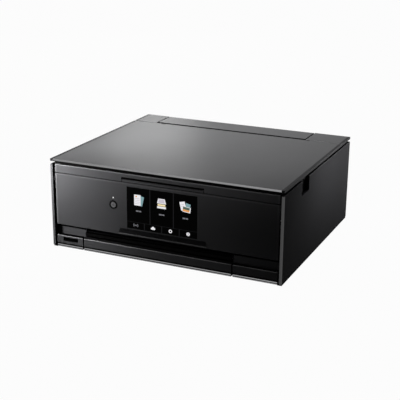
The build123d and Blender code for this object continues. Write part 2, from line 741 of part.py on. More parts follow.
def card_slot_block():
    piece = front_block(-1)
    x = CARD_FROM_SIDE - x_face
    mouth = around(x, CARD_MOUTH_WIDTH / 2)
    piece -= block(mouth, (y_face, y_face + CARD_MOUTH_DEPTH), around(CARD_Z, CARD_MOUTH_HEIGHT / 2))
    slot = around(x, CARD_MOUTH_WIDTH / 2 - CLEARANCE)
    return piece - block(slot, (y_face, y_face + CARD_SLOT_DEPTH), around(CARD_Z, CARD_SLOT_HEIGHT / 2))


def right_front_block():
    return front_block(1)


def cassette_front():
    return front_face((cassette_left, cassette_right), y_cassette - y_face)


def cassette_tray():
    z = (z_cassette, z_cassette + CASSETTE_HEIGHT)
    tray = block((tray_left, tray_right), (y_cassette, y_cassette_back), z)
    tray -= block((tray_left + CASSETTE_WALL, tray_right - CASSETTE_WALL),
                  (y_cassette + CASSETTE_WALL, y_cassette_back - CASSETTE_WALL),
                  (z_cassette + CASSETTE_WALL, z[1]))
    rear = (y_cassette_back - CASSETTE_WALL, y_cassette_back)
    return tray - block(around(PAPER_X, CASSETTE_REAR_GAP / 2), rear, (z_cassette + CASSETTE_WALL, z[1]))


def cassette_guide(side):
    """An upright paper guide on a thin foot."""
    low = z_cassette + CASSETTE_WALL + CASSETTE_PLAY
    y = (y_cassette_back - GUIDE_FROM_REAR - GUIDE_LENGTH, y_cassette_back - GUIDE_FROM_REAR)
    edge = PAPER_X + side * (cassette_half - PAPER_MARGIN)
    wall = sorted((edge, edge + side * GUIDE_WALL))
    foot = sorted((edge, edge - side * GUIDE_FOOT))
    guide = block(wall, y, (low, low + GUIDE_HEIGHT))
    return guide + block(foot, y, (low, low + GUIDE_FOOT_THICKNESS))


def cassette_guide_left():
    return cassette_guide(-1)


def cassette_guide_right():
    return cassette_guide(1)


def output_tray():
    top = OUTPUT_TRAY_Z + OUTPUT_TRAY_THICKNESS
    y = y_face + OUTPUT_TRAY_SETBACK
    x = (tray_left, tray_right)
    tray = block(x, (y, y + OUTPUT_TRAY_LENGTH), (OUTPUT_TRAY_Z, top))
    tray += block(x, (y, y + OUTPUT_LIP_DEPTH), (OUTPUT_TRAY_Z, top + OUTPUT_LIP_HEIGHT))
    tab = around(PAPER_X + OUTPUT_TAB_CENTRE, OUTPUT_TAB_WIDTH / 2)
    tray += block(tab, (y - OUTPUT_TAB_REACH, y), (OUTPUT_TRAY_Z, top))
    slit = around(PAPER_X + OUTPUT_TAB_SLIT_X, OUTPUT_TAB_SLIT / 2)
    return tray - block(slit, (y - OUTPUT_TAB_REACH, y), (OUTPUT_TRAY_Z, top))


# Operation panel

def panel_front():
    plate = block((-x_face, x_face), (y_face, y_panel_back), (z_panel, z_panel_top))
    front = plate.edges().filter_by(lambda e: abs(e.center().Y - y_face) < SEAM)
    top_edge = front.sort_by(Axis.Z)[-1]
    plate = fillet(top_edge, PANEL_EDGE_RADIUS)
    plate = chamfer(plate.faces().sort_by(Axis.Y)[0].edges().sort_by(Axis.Z)[0], PANEL_BEVEL)
    plate -= corner_wedges(x_face, y_face, FACE_SLOPE_WIDTH, FACE_SLOPE_DEPTH, (z_panel, z_panel_top))
    wedge = prism_x([
        (y_panel_back, z_panel + GRIP_TOP), (y_face, z_panel + GRIP_TOP), (y_front, z_panel + GRIP_NOSE),
        (y_front, z_panel + GRIP_NOSE - GRIP_NOSE_HEIGHT), (y_face, z_panel + GRIP_BOTTOM),
        (y_panel_back, z_panel + GRIP_BOTTOM)], (-GRIP_BOTTOM_WIDTH, GRIP_BOTTOM_WIDTH))
    top = GRIP_TOP_WIDTH / 2
    low = GRIP_BOTTOM_WIDTH / 2
    plate += wedge & prism_y([
        (-top, z_panel + GRIP_TOP), (-low, z_panel + GRIP_BOTTOM), (low, z_panel + GRIP_BOTTOM),
        (top, z_panel + GRIP_TOP)], (y_front, y_panel_back))
    through = (y_face - CLEARANCE, y_panel_back)
    plate -= block(around(DISPLAY_X, DISPLAY_WIDTH / 2), through, (z_display, z_display_top))
    plate -= rod_y(BUTTON_X, through, z_button, BUTTON_HOLE_RADIUS)
    plate -= rod_y(BUTTON_X, through, z_button + LAMP_FROM_BUTTON, LAMP_RADIUS + RUNNING_FIT)
    return plate + both_sides(lambda s: rod_x(
        across(s, x_face - PANEL_PIN_LENGTH, x_face + PANEL_PIN_LENGTH), panel_axis_y, panel_axis_z,
        PANEL_PIN_RADIUS))


def panel_back():
    x = x_face - PANEL_BODY_INSET
    z = (z_panel + PANEL_BODY_INSET, z_panel_top - PANEL_BODY_INSET)
    back = y_panel_back + PANEL_BODY_DEPTH
    wall = PANEL_BODY_WALL
    shell = block((-x, x), (y_panel_back, back), z)
    return shell - block((wall - x, x - wall), (y_panel_back, back - wall), (z[0] + wall, z[1] - wall))


def display_module():
    front = y_face + DISPLAY_RECESS
    gap = CLEARANCE / 2
    x = around(DISPLAY_X, DISPLAY_WIDTH / 2 - gap)
    return block(x, (front, front + DISPLAY_DEPTH), (z_display + gap, z_display_top - gap))


def power_button():
    ring_y = y_face + BUTTON_RING_RECESS
    button = rod_y(BUTTON_X, (y_face, y_panel_back), z_button, BUTTON_CAP_RADIUS)
    rim = BUTTON_HOLE_RADIUS - CLEARANCE / 2
    button += rod_y(BUTTON_X, (ring_y, y_panel_back), z_button, rim)
    flange_y = y_panel_back + CLEARANCE / 2
    flange = (flange_y, flange_y + BUTTON_FLANGE_THICKNESS)
    button += rod_y(BUTTON_X, (ring_y, flange[1]), z_button, BUTTON_CAP_RADIUS)
    button += rod_y(BUTTON_X, flange, z_button, BUTTON_HOLE_RADIUS + BUTTON_FLANGE)
    stem_end = y_panel_back + PANEL_BODY_DEPTH - PANEL_BODY_WALL - BUTTON_TRAVEL - CLEARANCE
    return button + rod_y(BUTTON_X, (flange[0], stem_end), z_button, BUTTON_STEM_RADIUS)


def power_lamp():
    return rod_y(BUTTON_X, (y_face, y_panel_back), z_button + LAMP_FROM_BUTTON, LAMP_RADIUS)


# Scanner unit

def front_strip():
    strip = block((-x_face, x_face), (y_face, y_scanner), (z_strip, z_side_top))
    front_edges = strip.edges().filter_by(lambda e: abs(e.center().Y - y_face) < SEAM)
    strip = fillet(front_edges.sort_by(Axis.Z)[-1], STRIP_EDGE_RADIUS)
    strip -= corner_wedges(x_face, y_face, FACE_SLOPE_WIDTH, FACE_SLOPE_DEPTH, (z_strip, z_side_top))
    half = FINGER_SLOT_WIDTH / 2
    slot_z = z_strip + FINGER_LIP_HEIGHT
    deep = (y_face, y_face + FINGER_SLOT_DEPTH)
    strip -= block((-half, half), deep, (slot_z, slot_z + FINGER_SLOT_HEIGHT))
    return strip - both_sides(
        lambda s: block(across(s, half - FINGER_LIP_END_GAP, half), deep, (z_strip, slot_z)))


def scanner_base():
    base = block((-x_scanner, x_scanner), (y_scanner, y_scanner_back), (z_scanner, z_frame))
    inside = x_scanner - MOULD_WALL
    base -= block((-inside, inside), (y_scanner + MOULD_WALL, y_scanner_back - MOULD_WALL),
                  (z_scanner + MOULD_WALL, z_frame))
    for x in ear_places()[1:3]:
        base += hinge_ear(x, y_scanner_back - MOULD_WALL, z_frame - HINGE_EAR_WIDTH) & block(
            around(x, HINGE_EAR_WIDTH), (y_scanner_back, y_back), (z_scanner, HEIGHT))
        base += block(around(x, HINGE_EAR_WIDTH / 2), (y_scanner_back - MOULD_WALL, hinge_y),
                      (z_frame - HINGE_EAR_WIDTH, z_frame))
    rod_z_place = z_scanner + SCAN_ROD_HEIGHT
    middle = (y_glass + y_glass_back) / 2
    return base - rod_x((-x_scanner + MOULD_WALL / 2, x_scanner - MOULD_WALL / 2), middle, rod_z_place,
                        SCAN_ROD_RADIUS)


def scanner_top_frame():
    x = x_scanner + SCANNER_LEDGE
    frame = block((-x, x), (y_scanner, y_scanner_back), (z_frame, z_side_top))
    seat_z = (z_side_top - GLASS_THICKNESS, z_side_top)
    frame -= block((-glass_half, glass_half), (y_glass, y_glass_back), seat_z)
    hole = glass_half - GLASS_LEDGE
    return frame - block((-hole, hole), (y_glass + GLASS_LEDGE, y_glass_back - GLASS_LEDGE),
                         (z_frame, z_side_top))


def platen_glass():
    x = glass_half - CLEARANCE
    y = (y_glass + CLEARANCE, y_glass_back - CLEARANCE)
    return block((-x, x), y, (z_side_top - GLASS_THICKNESS, z_side_top))


def scan_guide_rod():
    reach = x_scanner - MOULD_WALL / 2
    middle = (y_glass + y_glass_back) / 2
    return rod_x((-reach, reach), middle, z_scanner + SCAN_ROD_HEIGHT, SCAN_ROD_RADIUS)


def scan_head():
    middle = (y_glass + y_glass_back) / 2
    left = -x_scanner + MOULD_WALL + SCAN_HOME_GAP
    rod_height = z_scanner + SCAN_ROD_HEIGHT
    bar_top = z_frame - CLEARANCE
    saddle_x = (left, left + SCAN_SADDLE_WIDTH)
    saddle_z = (z_scanner + MOULD_WALL + CLEARANCE, bar_top - SCAN_BAR_HEIGHT / 2)
    head = block(saddle_x, around(middle, SCAN_SADDLE_LENGTH / 2), saddle_z)
    bar_y = (y_glass + SCAN_BAR_END_GAP, y_glass_back - SCAN_BAR_END_GAP)
    head += block((left, left + SCAN_BAR_WIDTH), bar_y, (bar_top - SCAN_BAR_HEIGHT, bar_top))
    return head - rod_x(saddle_x, middle, rod_height, SCAN_ROD_RADIUS + RUNNING_FIT)


# Gears and rollers

def involute(radius, base):
    t = math.sqrt(max((radius / base) ** 2 - 1, 0))
    return t - math.atan(t)


def spur_gear(teeth, phase, y, z, bore):
    """A spur gear on an X axis, with one tooth at the phase angle from +Y towards +Z."""
    pitch = GEAR_MODULE * teeth / 2
    base = pitch * math.cos(math.radians(PRESSURE_ANGLE))
    tip = pitch + GEAR_MODULE * GEAR_ADDENDUM
    root = pitch - GEAR_MODULE * GEAR_DEDENDUM
    half = math.pi / (2 * teeth) - GEAR_BACKLASH / (2 * pitch) + involute(pitch, base)
    flank = [root, max(base, root), pitch, (pitch + tip) / 2, tip]
    side = [(r, half - involute(r, base)) for r in flank]
    points = []
    for tooth in range(teeth):
        centre = math.radians(phase) + 2 * math.pi * tooth / teeth
        outline = [(r, centre - a) for r, a in side] + [(r, centre + a) for r, a in reversed(side)]
        points += [(y + r * math.cos(a), z + r * math.sin(a)) for r, a in outline]
    x = (gear_left, gear_left + GEAR_WIDTH)
    return prism_x(points, x) - rod_x(x, y, z, bore)


def meshing_phase(teeth, phase, mate_teeth, direction):
    """The phase of a mating gear that lies at the given direction from the first one."""
    pitch = 2 * HALF_TURN / teeth
    offset = (phase - direction + pitch / 2) % pitch - pitch / 2
    return direction + HALF_TURN - offset * teeth / mate_teeth + HALF_TURN / mate_teeth


FEED_PHASE = HALF_TURN
IDLER_PHASE = meshing_phase(FEED_TEETH, FEED_PHASE, IDLER_TEETH, HALF_TURN)
EJECT_PHASE = meshing_phase(IDLER_TEETH, IDLER_PHASE, EJECT_TEETH, HALF_TURN)
PINION_PHASE = meshing_phase(FEED_TEETH, FEED_PHASE, PINION_TEETH, -HALF_TURN / 2)


def feed_gear():
    return spur_gear(FEED_TEETH, FEED_PHASE, FEED_Y, ROLLER_Z, FEED_SHAFT_RADIUS)


def idler_gear():
    return spur_gear(IDLER_TEETH, IDLER_PHASE, idler_y, ROLLER_Z, GEAR_AXLE_RADIUS + RUNNING_FIT)


def eject_gear():
    return spur_gear(EJECT_TEETH, EJECT_PHASE, eject_y, ROLLER_Z, EJECT_SHAFT_RADIUS)


def motor_pinion():
    gear = spur_gear(PINION_TEETH, PINION_PHASE, FEED_Y, pinion_z, MOTOR_SHAFT_RADIUS)
    shaft = (gear_left, MOTOR_BORE_DEPTH - chassis_in)
    return gear + rod_x(shaft, FEED_Y, pinion_z, MOTOR_SHAFT_RADIUS)


def feed_motor():
    x = (-chassis_in, cassette_left - FEED_MOTOR_GAP)
    motor = rod_x(x, FEED_Y, pinion_z, FEED_MOTOR_RADIUS)
    bore = (x[0], x[0] + MOTOR_BORE_DEPTH + CLEARANCE)
    return motor - rod_x(bore, FEED_Y, pinion_z, MOTOR_SHAFT_RADIUS + RUNNING_FIT)


def roller_span():
    return (gear_left, chassis_out + GEAR_WIDTH)


def feed_roller():
    roller = rod_x(roller_span(), FEED_Y, ROLLER_Z, FEED_SHAFT_RADIUS)
    coated = (cassette_left + FEED_END_GAP, cassette_right - FEED_END_GAP)
    return roller + rod_x(coated, FEED_Y, ROLLER_Z, FEED_RADIUS)


def eject_roller():
    roller = rod_x(roller_span(), eject_y, ROLLER_Z, EJECT_SHAFT_RADIUS)
    for x in spaced(EJECT_RINGS, EJECT_RING_PITCH):
        roller += rod_x(around(PAPER_X + x, EJECT_RING_WIDTH / 2), eject_y, ROLLER_Z, EJECT_RADIUS)
    return roller


def star_wheels():
    wheels = rod_x((-chassis_out, chassis_out), eject_y, star_z, STAR_SHAFT_RADIUS)
    points = []
    for i in range(2 * STAR_POINTS):
        angle = math.pi * i / STAR_POINTS
        radius = STAR_RADIUS if i % 2 else STAR_ROOT_RADIUS
        points.append((eject_y + radius * math.cos(angle), star_z + radius * math.sin(angle)))
    for x in spaced(EJECT_RINGS, EJECT_RING_PITCH):
        wheels += prism_x(points, around(PAPER_X + x, STAR_THICKNESS / 2))
    return wheels


def pinch_rollers():
    reach = (PINCH_COUNT * PINCH_PITCH + PINCH_ARM) / 2
    rollers = rod_x(around(PAPER_X, reach), FEED_Y, pinch_z, PINCH_SHAFT_RADIUS)
    for x in spaced(PINCH_COUNT, PINCH_PITCH):
        rollers += rod_x(around(PAPER_X + x, PINCH_LENGTH / 2), FEED_Y, pinch_z, PINCH_RADIUS)
    return rollers


def pinch_holder():
    reach = (PINCH_COUNT * PINCH_PITCH + PINCH_ARM) / 2
    x = around(PAPER_X, reach)
    top = PINCH_HOLDER_Z + PINCH_HOLDER_PLATE
    holder = block(x, (FEED_Y - PINCH_RADIUS, y_chassis), (PINCH_HOLDER_Z, top))
    flange_z = (top - PINCH_FLANGE_HEIGHT, top)
    holder += block(x, (y_chassis - STEEL_SHEET, y_chassis), flange_z)
    for place in spaced(PINCH_COUNT + 1, PINCH_PITCH):
        span = around(PAPER_X + place, PINCH_ARM / 2)
        arm_z_span = (pinch_z - PINCH_SHAFT_RADIUS - STEEL_SHEET, PINCH_HOLDER_Z)
        holder += block(span, around(FEED_Y, PINCH_RADIUS), arm_z_span)
    return holder - rod_x(x, FEED_Y, pinch_z, PINCH_SHAFT_RADIUS + RUNNING_FIT)


# Chassis and carriage

def main_chassis():
    side_y = (eject_y - CHASSIS_FRONT, y_chassis + STEEL_SHEET)
    side_z = (z_floor, z_chassis_top)
    chassis = both_sides(lambda s: block(across(s, chassis_in, chassis_out), side_y, side_z))
    chassis += block((-chassis_out, chassis_out), (y_chassis, y_chassis + STEEL_SHEET),
                     (CHASSIS_BACK_Z, z_chassis_top))
    for y, z, radius in (
            (FEED_Y, ROLLER_Z, FEED_SHAFT_RADIUS), (eject_y, ROLLER_Z, EJECT_SHAFT_RADIUS),
            (eject_y, star_z, STAR_SHAFT_RADIUS)):
        chassis -= rod_x((-chassis_out, chassis_out), y, z, radius + RUNNING_FIT)
    chassis -= rod_x((-chassis_out, -chassis_in), FEED_Y, pinion_z, MOTOR_SHAFT_HOLE)
    plate_y = (y_chassis, y_chassis + STEEL_SHEET)
    chassis -= rod_y(pulley_x, plate_y, z_pulley, MOTOR_SHAFT_HOLE)
    chassis += rod_x((gear_left, -chassis_out), idler_y, ROLLER_Z, GEAR_AXLE_RADIUS)
    axle_y = (y_belt - PULLEY_SIDE_GAP - PULLEY_FLANGE, y_chassis)
    return chassis + rod_y(-pulley_x, axle_y, z_pulley, GEAR_AXLE_RADIUS)


def carriage_rail():
    x = (-chassis_in, chassis_in)
    rail = block(x, (rail_lip_y, y_chassis), (z_rail, z_rail + STEEL_SHEET))
    rail += block(x, (rail_lip_y, rail_lip_y + STEEL_SHEET), (z_rail, z_rail_top))
    return rail + block(x, (y_chassis - STEEL_SHEET, y_chassis), (z_rail, z_rail_top))


def encoder_strip():
    y = y_chassis - ENCODER_FROM_BACK
    z = z_scanner - ENCODER_DROP
    return block((-chassis_in, chassis_in), (y, y + STRIP_SHEET), (z, z + ENCODER_HEIGHT))


def carriage_body():
    x = (carriage_left, carriage_right)
    top = CARRIAGE_Z + CARRIAGE_WALL_HEIGHT
    wall = CARRIAGE_WALL
    body = block(x, (y_carriage, y_carriage_back), (CARRIAGE_Z, top))
    body -= block((x[0] + wall, x[1] - wall), (y_carriage + wall, y_carriage_back - wall),
                  (CARRIAGE_Z + wall, top))
    slider_z = (z_slider, z_slider + SLIDER_HEIGHT)
    slider_back = rail_lip_y + SLIDER_REACH
    body += block(x, (y_carriage_back - wall, y_carriage_back), (CARRIAGE_Z, slider_z[1]))
    body += block(x, (y_carriage_back - wall, slider_back), slider_z)
    slot_y = (rail_lip_y - CLEARANCE, rail_lip_y + STEEL_SHEET + CLEARANCE)
    body -= block(x, slot_y, (z_slider, z_rail_top + CLEARANCE))
    clamp_x = around(carriage_x, CLAMP_WIDTH / 2)
    post_y = (y_belt - CLEARANCE - CLAMP_WALL, y_belt - CLEARANCE)
    body += block(clamp_x, post_y, (slider_z[1], slider_z[1] + CLAMP_HEIGHT))
    finger_z = slider_z[1] + CLAMP_HEIGHT
    return body + block(clamp_x, (post_y[0], slider_back), (finger_z - CLAMP_FINGER, finger_z))


def print_head():
    x = (carriage_left + HEAD_INSET, carriage_right - HEAD_INSET)
    return block(x, (y_head, y_head + HEAD_LENGTH), (z_head, CARRIAGE_Z))


def ink_tanks():
    pitch = (CARRIAGE_WIDTH - 2 * CARRIAGE_WALL) / TANK_COUNT
    front = y_carriage + CARRIAGE_WALL + CLEARANCE
    back = y_carriage_back - CARRIAGE_WALL - CLEARANCE
    low = CARRIAGE_Z + CARRIAGE_WALL
    top = z_scanner - TANK_DROP
    lever = front + TANK_LEVER_DEPTH
    outline = [
        (front, low), (back, low), (back, top), (lever, top), (lever, top - TANK_LEVER_HEIGHT),
        (lever - TANK_LEVER_SLOT, top - TANK_LEVER_HEIGHT), (lever - TANK_LEVER_SLOT, top), (front, top)]
    half = (pitch - TANK_GAP) / 2
    return Compound(children=[
        prism_x(outline, around(carriage_x + x, half)) for x in spaced(TANK_COUNT, pitch)])


def pulley(x, bore):
    """A flanged belt pulley on a Y axis."""
    y = (y_belt - PULLEY_SIDE_GAP, y_belt_back + PULLEY_SIDE_GAP)
    wheel = rod_y(x, y, z_pulley, BELT_INNER_RADIUS - CLEARANCE)
    wheel += rod_y(x, (y[0] - PULLEY_FLANGE, y[0]), z_pulley, PULLEY_FLANGE_RADIUS)
    wheel += rod_y(x, (y[1], y[1] + PULLEY_FLANGE), z_pulley, PULLEY_FLANGE_RADIUS)
    return wheel - rod_y(x, (y[0] - PULLEY_FLANGE, y[1] + PULLEY_FLANGE), z_pulley, bore)


def motor_pulley():
    shaft = (y_belt - PULLEY_SIDE_GAP - PULLEY_FLANGE, y_chassis + STEEL_SHEET + MOTOR_BORE_DEPTH)
    return pulley(pulley_x, MOTOR_SHAFT_RADIUS) + rod_y(pulley_x, shaft, z_pulley, MOTOR_SHAFT_RADIUS)


def idler_pulley():
    return pulley(-pulley_x, GEAR_AXLE_RADIUS + RUNNING_FIT)


def drive_belt():
    plane = Plane(origin=(0, y_belt_back, z_pulley), x_dir=(1, 0, 0), z_dir=(0, -1, 0))
    outer = SlotCenterToCenter(2 * pulley_x, 2 * (BELT_INNER_RADIUS + BELT_THICKNESS))
    inner = SlotCenterToCenter(2 * pulley_x, 2 * BELT_INNER_RADIUS)
    return extrude(plane * (outer - inner), amount=BELT_WIDTH)


def carriage_motor():
    y = (y_chassis + STEEL_SHEET, y_chassis + STEEL_SHEET + CARRIAGE_MOTOR_LENGTH)
    motor = rod_y(pulley_x, y, z_pulley, CARRIAGE_MOTOR_RADIUS)
    bore = (y[0], y[0] + MOTOR_BORE_DEPTH + CLEARANCE)
    return motor - rod_y(pulley_x, bore, z_pulley, MOTOR_SHAFT_RADIUS + RUNNING_FIT)


# Platen, purge station and waste ink

def print_platen():
    y = (y_platen, y_platen_back)
    platen = block((-chassis_in, purge_left), y, (PLATEN_BASE_Z, PLATEN_BASE_Z + PLATEN_BASE))
    for x in spaced(PLATEN_RIBS, PLATEN_RIB_PITCH):
        platen += block(around(PAPER_X + x, PLATEN_RIB_WIDTH / 2), y, (PLATEN_BASE_Z, PLATEN_TOP))
    return platen


def purge_base():
    x = (purge_left, purge_right)
    y = (y_platen, y_platen_back)
    base = block(x, y, (z_waste_top, PURGE_TOP))
    well_x = (x[0] + PURGE_WALL, x[1] - PURGE_WALL)
    well_y = (y[0] + PURGE_WALL, y[1] - PURGE_WALL)
    well_floor = PURGE_TOP - CAP_STEM - CAP_TRAVEL - CLEARANCE
    return base - block(well_x, well_y, (well_floor, PURGE_TOP))


def purge_cap():
    inset = PURGE_WALL + CLEARANCE
    x = (purge_left + inset, purge_right - inset)
    y = (y_platen + inset, y_platen_back - inset)
    top = z_head - CLEARANCE
    cap = block(x, y, (PURGE_TOP - CAP_STEM, top))
    return cap - block((x[0] + CAP_RIM, x[1] - CAP_RIM), (y[0] + CAP_RIM, y[1] - CAP_RIM),
                       (top - CAP_HOLLOW, top))


def waste_ink_box():
    x = (cassette_right + WASTE_LEFT_GAP, carriage_right)
    y = (FEED_Y - WASTE_FRONT, FEED_Y + WASTE_REAR)
    box = block(x, y, (z_floor, z_waste_top))
    wall = MOULD_WALL
    return box - block((x[0] + wall, x[1] - wall), (y[0] + wall, y[1] - wall),
                       (z_floor + wall, z_waste_top - wall))


# Rear paper guide and pick-up arm

def rear_paper_guide():
    x = (guide_left, guide_right)
    plate_y = FEED_Y + GUIDE_FRONT
    turn_y = y_guide_back - TURN_RADIUS - GUIDE_PLATE
    turn_z = GUIDE_PLATE_Z + GUIDE_PLATE + TURN_TOP - TURN_RADIUS
    guide = block(x, (plate_y, turn_y), (GUIDE_PLATE_Z, GUIDE_PLATE_Z + GUIDE_PLATE))
    cheek_y = FEED_Y + GUIDE_CHEEK_FRONT
    chute_y = FEED_Y + CHUTE_FOOT_Y
    chute_top = y_guide_back - GUIDE_PLATE
    cheek = [
        (cheek_y, z_floor), (y_guide_back, z_floor), (y_guide_back, z_chute), (chute_top, z_chute),
        (chute_y, GUIDE_CHEEK_STEP), (cheek_y, GUIDE_PLATE_Z + GUIDE_PLATE)]
    for span in ((x[0], x[0] + GUIDE_CHEEK), (x[1] - GUIDE_CHEEK, x[1])):
        guide += prism_x(cheek, span)
    chute = [
        (chute_top, z_chute), (chute_y, GUIDE_CHEEK_STEP),
        (chute_y + GUIDE_PLATE, GUIDE_CHEEK_STEP - GUIDE_PLATE),
        (y_guide_back, z_chute - GUIDE_PLATE), (y_guide_back, z_chute)]
    guide += prism_x(chute, x)
    ring = rod_x(x, turn_y, turn_z, TURN_RADIUS + GUIDE_PLATE) - rod_x(x, turn_y, turn_z, TURN_RADIUS)
    guide += ring & block(x, (turn_y, y_guide_back), (TURN_FLOOR, turn_z + TURN_RADIUS + GUIDE_PLATE))
    inner = ARM_HALF_WIDTH + ARM_LUG_GAP
    for way in (-1, 1):
        span = sorted((PAPER_X + way * inner, PAPER_X + way * (inner + ARM_LUG)))
        lug = block(span, around(arm_y, ARM_LUG_LENGTH / 2), (arm_z - ARM_LUG_LENGTH / 2, GUIDE_PLATE_Z))
        guide += lug - rod_x(span, arm_y, arm_z, ARM_SHAFT_RADIUS + RUNNING_FIT)
    return guide


def pickup_arm():
    arm = rod_x(around(PAPER_X, ARM_HALF_WIDTH + ARM_LUG_GAP + ARM_LUG), arm_y, arm_z, ARM_SHAFT_RADIUS)
    arm += rod_x(around(PAPER_X, ARM_HALF_WIDTH), pick_y, pick_z, ARM_SHAFT_RADIUS)
    length = math.hypot(ARM_REACH_Y, ARM_REACH_Z)
    along = (ARM_REACH_Y / length, -ARM_REACH_Z / length)
    beam = ARM_BEAM_RADIUS
    corners = [(-along[1] * beam, along[0] * beam), (along[1] * beam, -along[0] * beam)]
    outline = [(arm_y + dy, arm_z + dz) for dy, dz in corners]
    outline += [(pick_y + dy, pick_z + dz) for dy, dz in reversed(corners)]
    for way in (-1, 1):
        outer = PAPER_X + way * ARM_HALF_WIDTH
        span = sorted((outer, outer - way * ARM_CHEEK))
        arm += prism_x(outline, span)
        arm += rod_x(span, arm_y, arm_z, beam)
        arm += rod_x(span, pick_y, pick_z, beam)
    return arm


def pickup_roller():
    x = around(PAPER_X, PICK_HALF_WIDTH)
    return rod_x(x, pick_y, pick_z, PICK_RADIUS) - rod_x(x, pick_y, pick_z, ARM_SHAFT_RADIUS + RUNNING_FIT)


# Power supply, board and sockets

def inlet_outline():
    x = -x_wall + INLET_FROM_WALL
    return (x, x + INLET_WIDTH), (INLET_Z, INLET_Z + INLET_HEIGHT)


def usb_outline():
    x = x_wall - USB_FROM_WALL
    return around(x, USB_WIDTH / 2), (z_board_top, z_board_top + USB_HEIGHT)


def power_supply():
    x = (CLEARANCE - x_wall, CLEARANCE - x_wall + SUPPLY_WIDTH)
    return block(x, (SUPPLY_FRONT, y_supply_back), (z_floor, z_floor + SUPPLY_HEIGHT))


def mains_inlet():
    x, z = inlet_outline()
    body = block(x, (y_supply_back, y_socket), z)
    middle_x = (x[0] + x[1]) / 2
    middle_z = (z[0] + z[1]) / 2
    deep = (y_socket - INLET_DEPTH, y_socket)
    poles = [middle_x - INLET_POLE_PITCH / 2, middle_x + INLET_POLE_PITCH / 2]
    body -= block(tuple(poles), deep, around(middle_z, INLET_WAIST / 2))
    for pole in poles:
        body -= rod_y(pole, deep, middle_z, INLET_POLE_RADIUS)
    for pole in poles:
        body += rod_y(pole, (deep[0], y_socket - SOCKET_SETBACK), middle_z, INLET_PIN_RADIUS)
    return body


def main_board():
    x = (x_board - BOARD_WIDTH, x_board)
    board = block(x, (BOARD_FRONT, y_supply_back), (BOARD_Z, z_board_top))
    chip_y = (BOARD_FRONT + y_supply_back) / 2
    return board + block(around(x_board - BOARD_WIDTH / 2, CHIP_SIDE / 2), around(chip_y, CHIP_SIDE / 2),
                         (BOARD_Z, z_board_top + CHIP_HEIGHT))


def usb_socket():
    x, z = usb_outline()
    body = block(x, (y_socket - USB_LENGTH, y_socket), z)
    wall = USB_WALL
    body -= block((x[0] + wall, x[1] - wall), (y_socket - USB_DEPTH, y_socket), (z[0] + wall, z[1] - wall))
    tongue_y = (y_socket - USB_DEPTH, y_socket - USB_TONGUE_SETBACK)
    tongue_x = around((x[0] + x[1]) / 2, USB_TONGUE_WIDTH / 2)
    return body + block(tongue_x, tongue_y, around((z[0] + z[1]) / 2, USB_TONGUE_HEIGHT / 2))


PIECES = [
    bottom_case, left_side_cover, right_side_cover, rear_cover, rear_top_cover, card_slot_block,
    right_front_block, feet, case_screws, hinge_rod, main_chassis, carriage_rail, encoder_strip,
    print_platen, purge_base, waste_ink_box, power_supply, mains_inlet, main_board, usb_socket,
    carriage_motor, feed_motor, drive_belt, pinch_holder, rear_paper_guide,
    scanner_base, scanner_top_frame, platen_glass, front_strip, scan_guide_rod, scan_head,
    document_cover, backing_plate, rear_tray_cover,
    panel_front, panel_back, display_module, power_lamp, power_button,
    cassette_tray, cassette_front, cassette_guide_left, cassette_guide_right, output_tray,
    carriage_body, print_head, ink_tanks, motor_pulley, idler_pulley,
    feed_roller, feed_gear, eject_roller, eject_gear, idler_gear, motor_pinion,
    pinch_rollers, star_wheels, pickup_arm, pickup_roller, purge_cap]

os.makedirs("parts", exist_ok=True)
for piece in PIECES:
    export_step(piece(), f"parts/{piece.__name__}.step")
print(len(PIECES), "pieces written")
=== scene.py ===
# %% [markdown]
# # A compact all-in-one inkjet printer
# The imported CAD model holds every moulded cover, roller and gear at its real size. This lesson
# dresses that model: it gives each surface a finish, draws the touch screen, adds the small trim
# that a moulding tool would not make, and sets up a plain studio. Nothing from the CAD is moved.

# %% Load the frame
import json
import math

import bmesh
import bpy
from mathutils import Matrix, Vector


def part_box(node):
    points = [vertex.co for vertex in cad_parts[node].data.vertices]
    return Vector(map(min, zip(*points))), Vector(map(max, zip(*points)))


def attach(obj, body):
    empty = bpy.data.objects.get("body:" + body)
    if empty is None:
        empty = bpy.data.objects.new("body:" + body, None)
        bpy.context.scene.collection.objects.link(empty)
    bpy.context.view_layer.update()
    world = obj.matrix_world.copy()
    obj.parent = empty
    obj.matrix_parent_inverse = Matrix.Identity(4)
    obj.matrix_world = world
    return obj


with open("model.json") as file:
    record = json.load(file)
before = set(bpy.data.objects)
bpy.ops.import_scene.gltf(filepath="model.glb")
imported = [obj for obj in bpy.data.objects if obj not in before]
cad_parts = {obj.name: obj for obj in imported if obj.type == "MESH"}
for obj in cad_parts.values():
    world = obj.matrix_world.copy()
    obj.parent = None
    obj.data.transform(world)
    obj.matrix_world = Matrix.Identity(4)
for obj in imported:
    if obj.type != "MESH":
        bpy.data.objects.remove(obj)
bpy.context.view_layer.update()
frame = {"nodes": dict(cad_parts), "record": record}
nodes = frame["nodes"]
MM = 0.001
print("CAD nodes:", len(nodes))

# %% [markdown]
# ## Helpers for materials
# Colours are easiest to pick as sRGB hex values, as on a paint card, but shader sockets take linear
# light, so one function turns the one into the other. The others add a node, set or join its inputs,
# and start a material, which keeps each finish short enough to read.

# %% Helpers for materials
def linear(hex_colour):
    """An sRGB hex colour as the linear RGBA of a shader socket."""
    parts = [int(hex_colour[i:i + 2], 16) / 255 for i in (1, 3, 5)]
    return tuple(c / 12.92 if c <= 0.04045 else ((c + 0.055) / 1.055) ** 2.4 for c in parts) + (1.0,)


def set_inputs(material, node, inputs):
    """An input that is a socket becomes a link, and any other input a value."""
    for socket, value in inputs.items():
        if isinstance(value, bpy.types.NodeSocket):
            material.node_tree.links.new(value, node.inputs[socket])
        else:
            node.inputs[socket].default_value = value


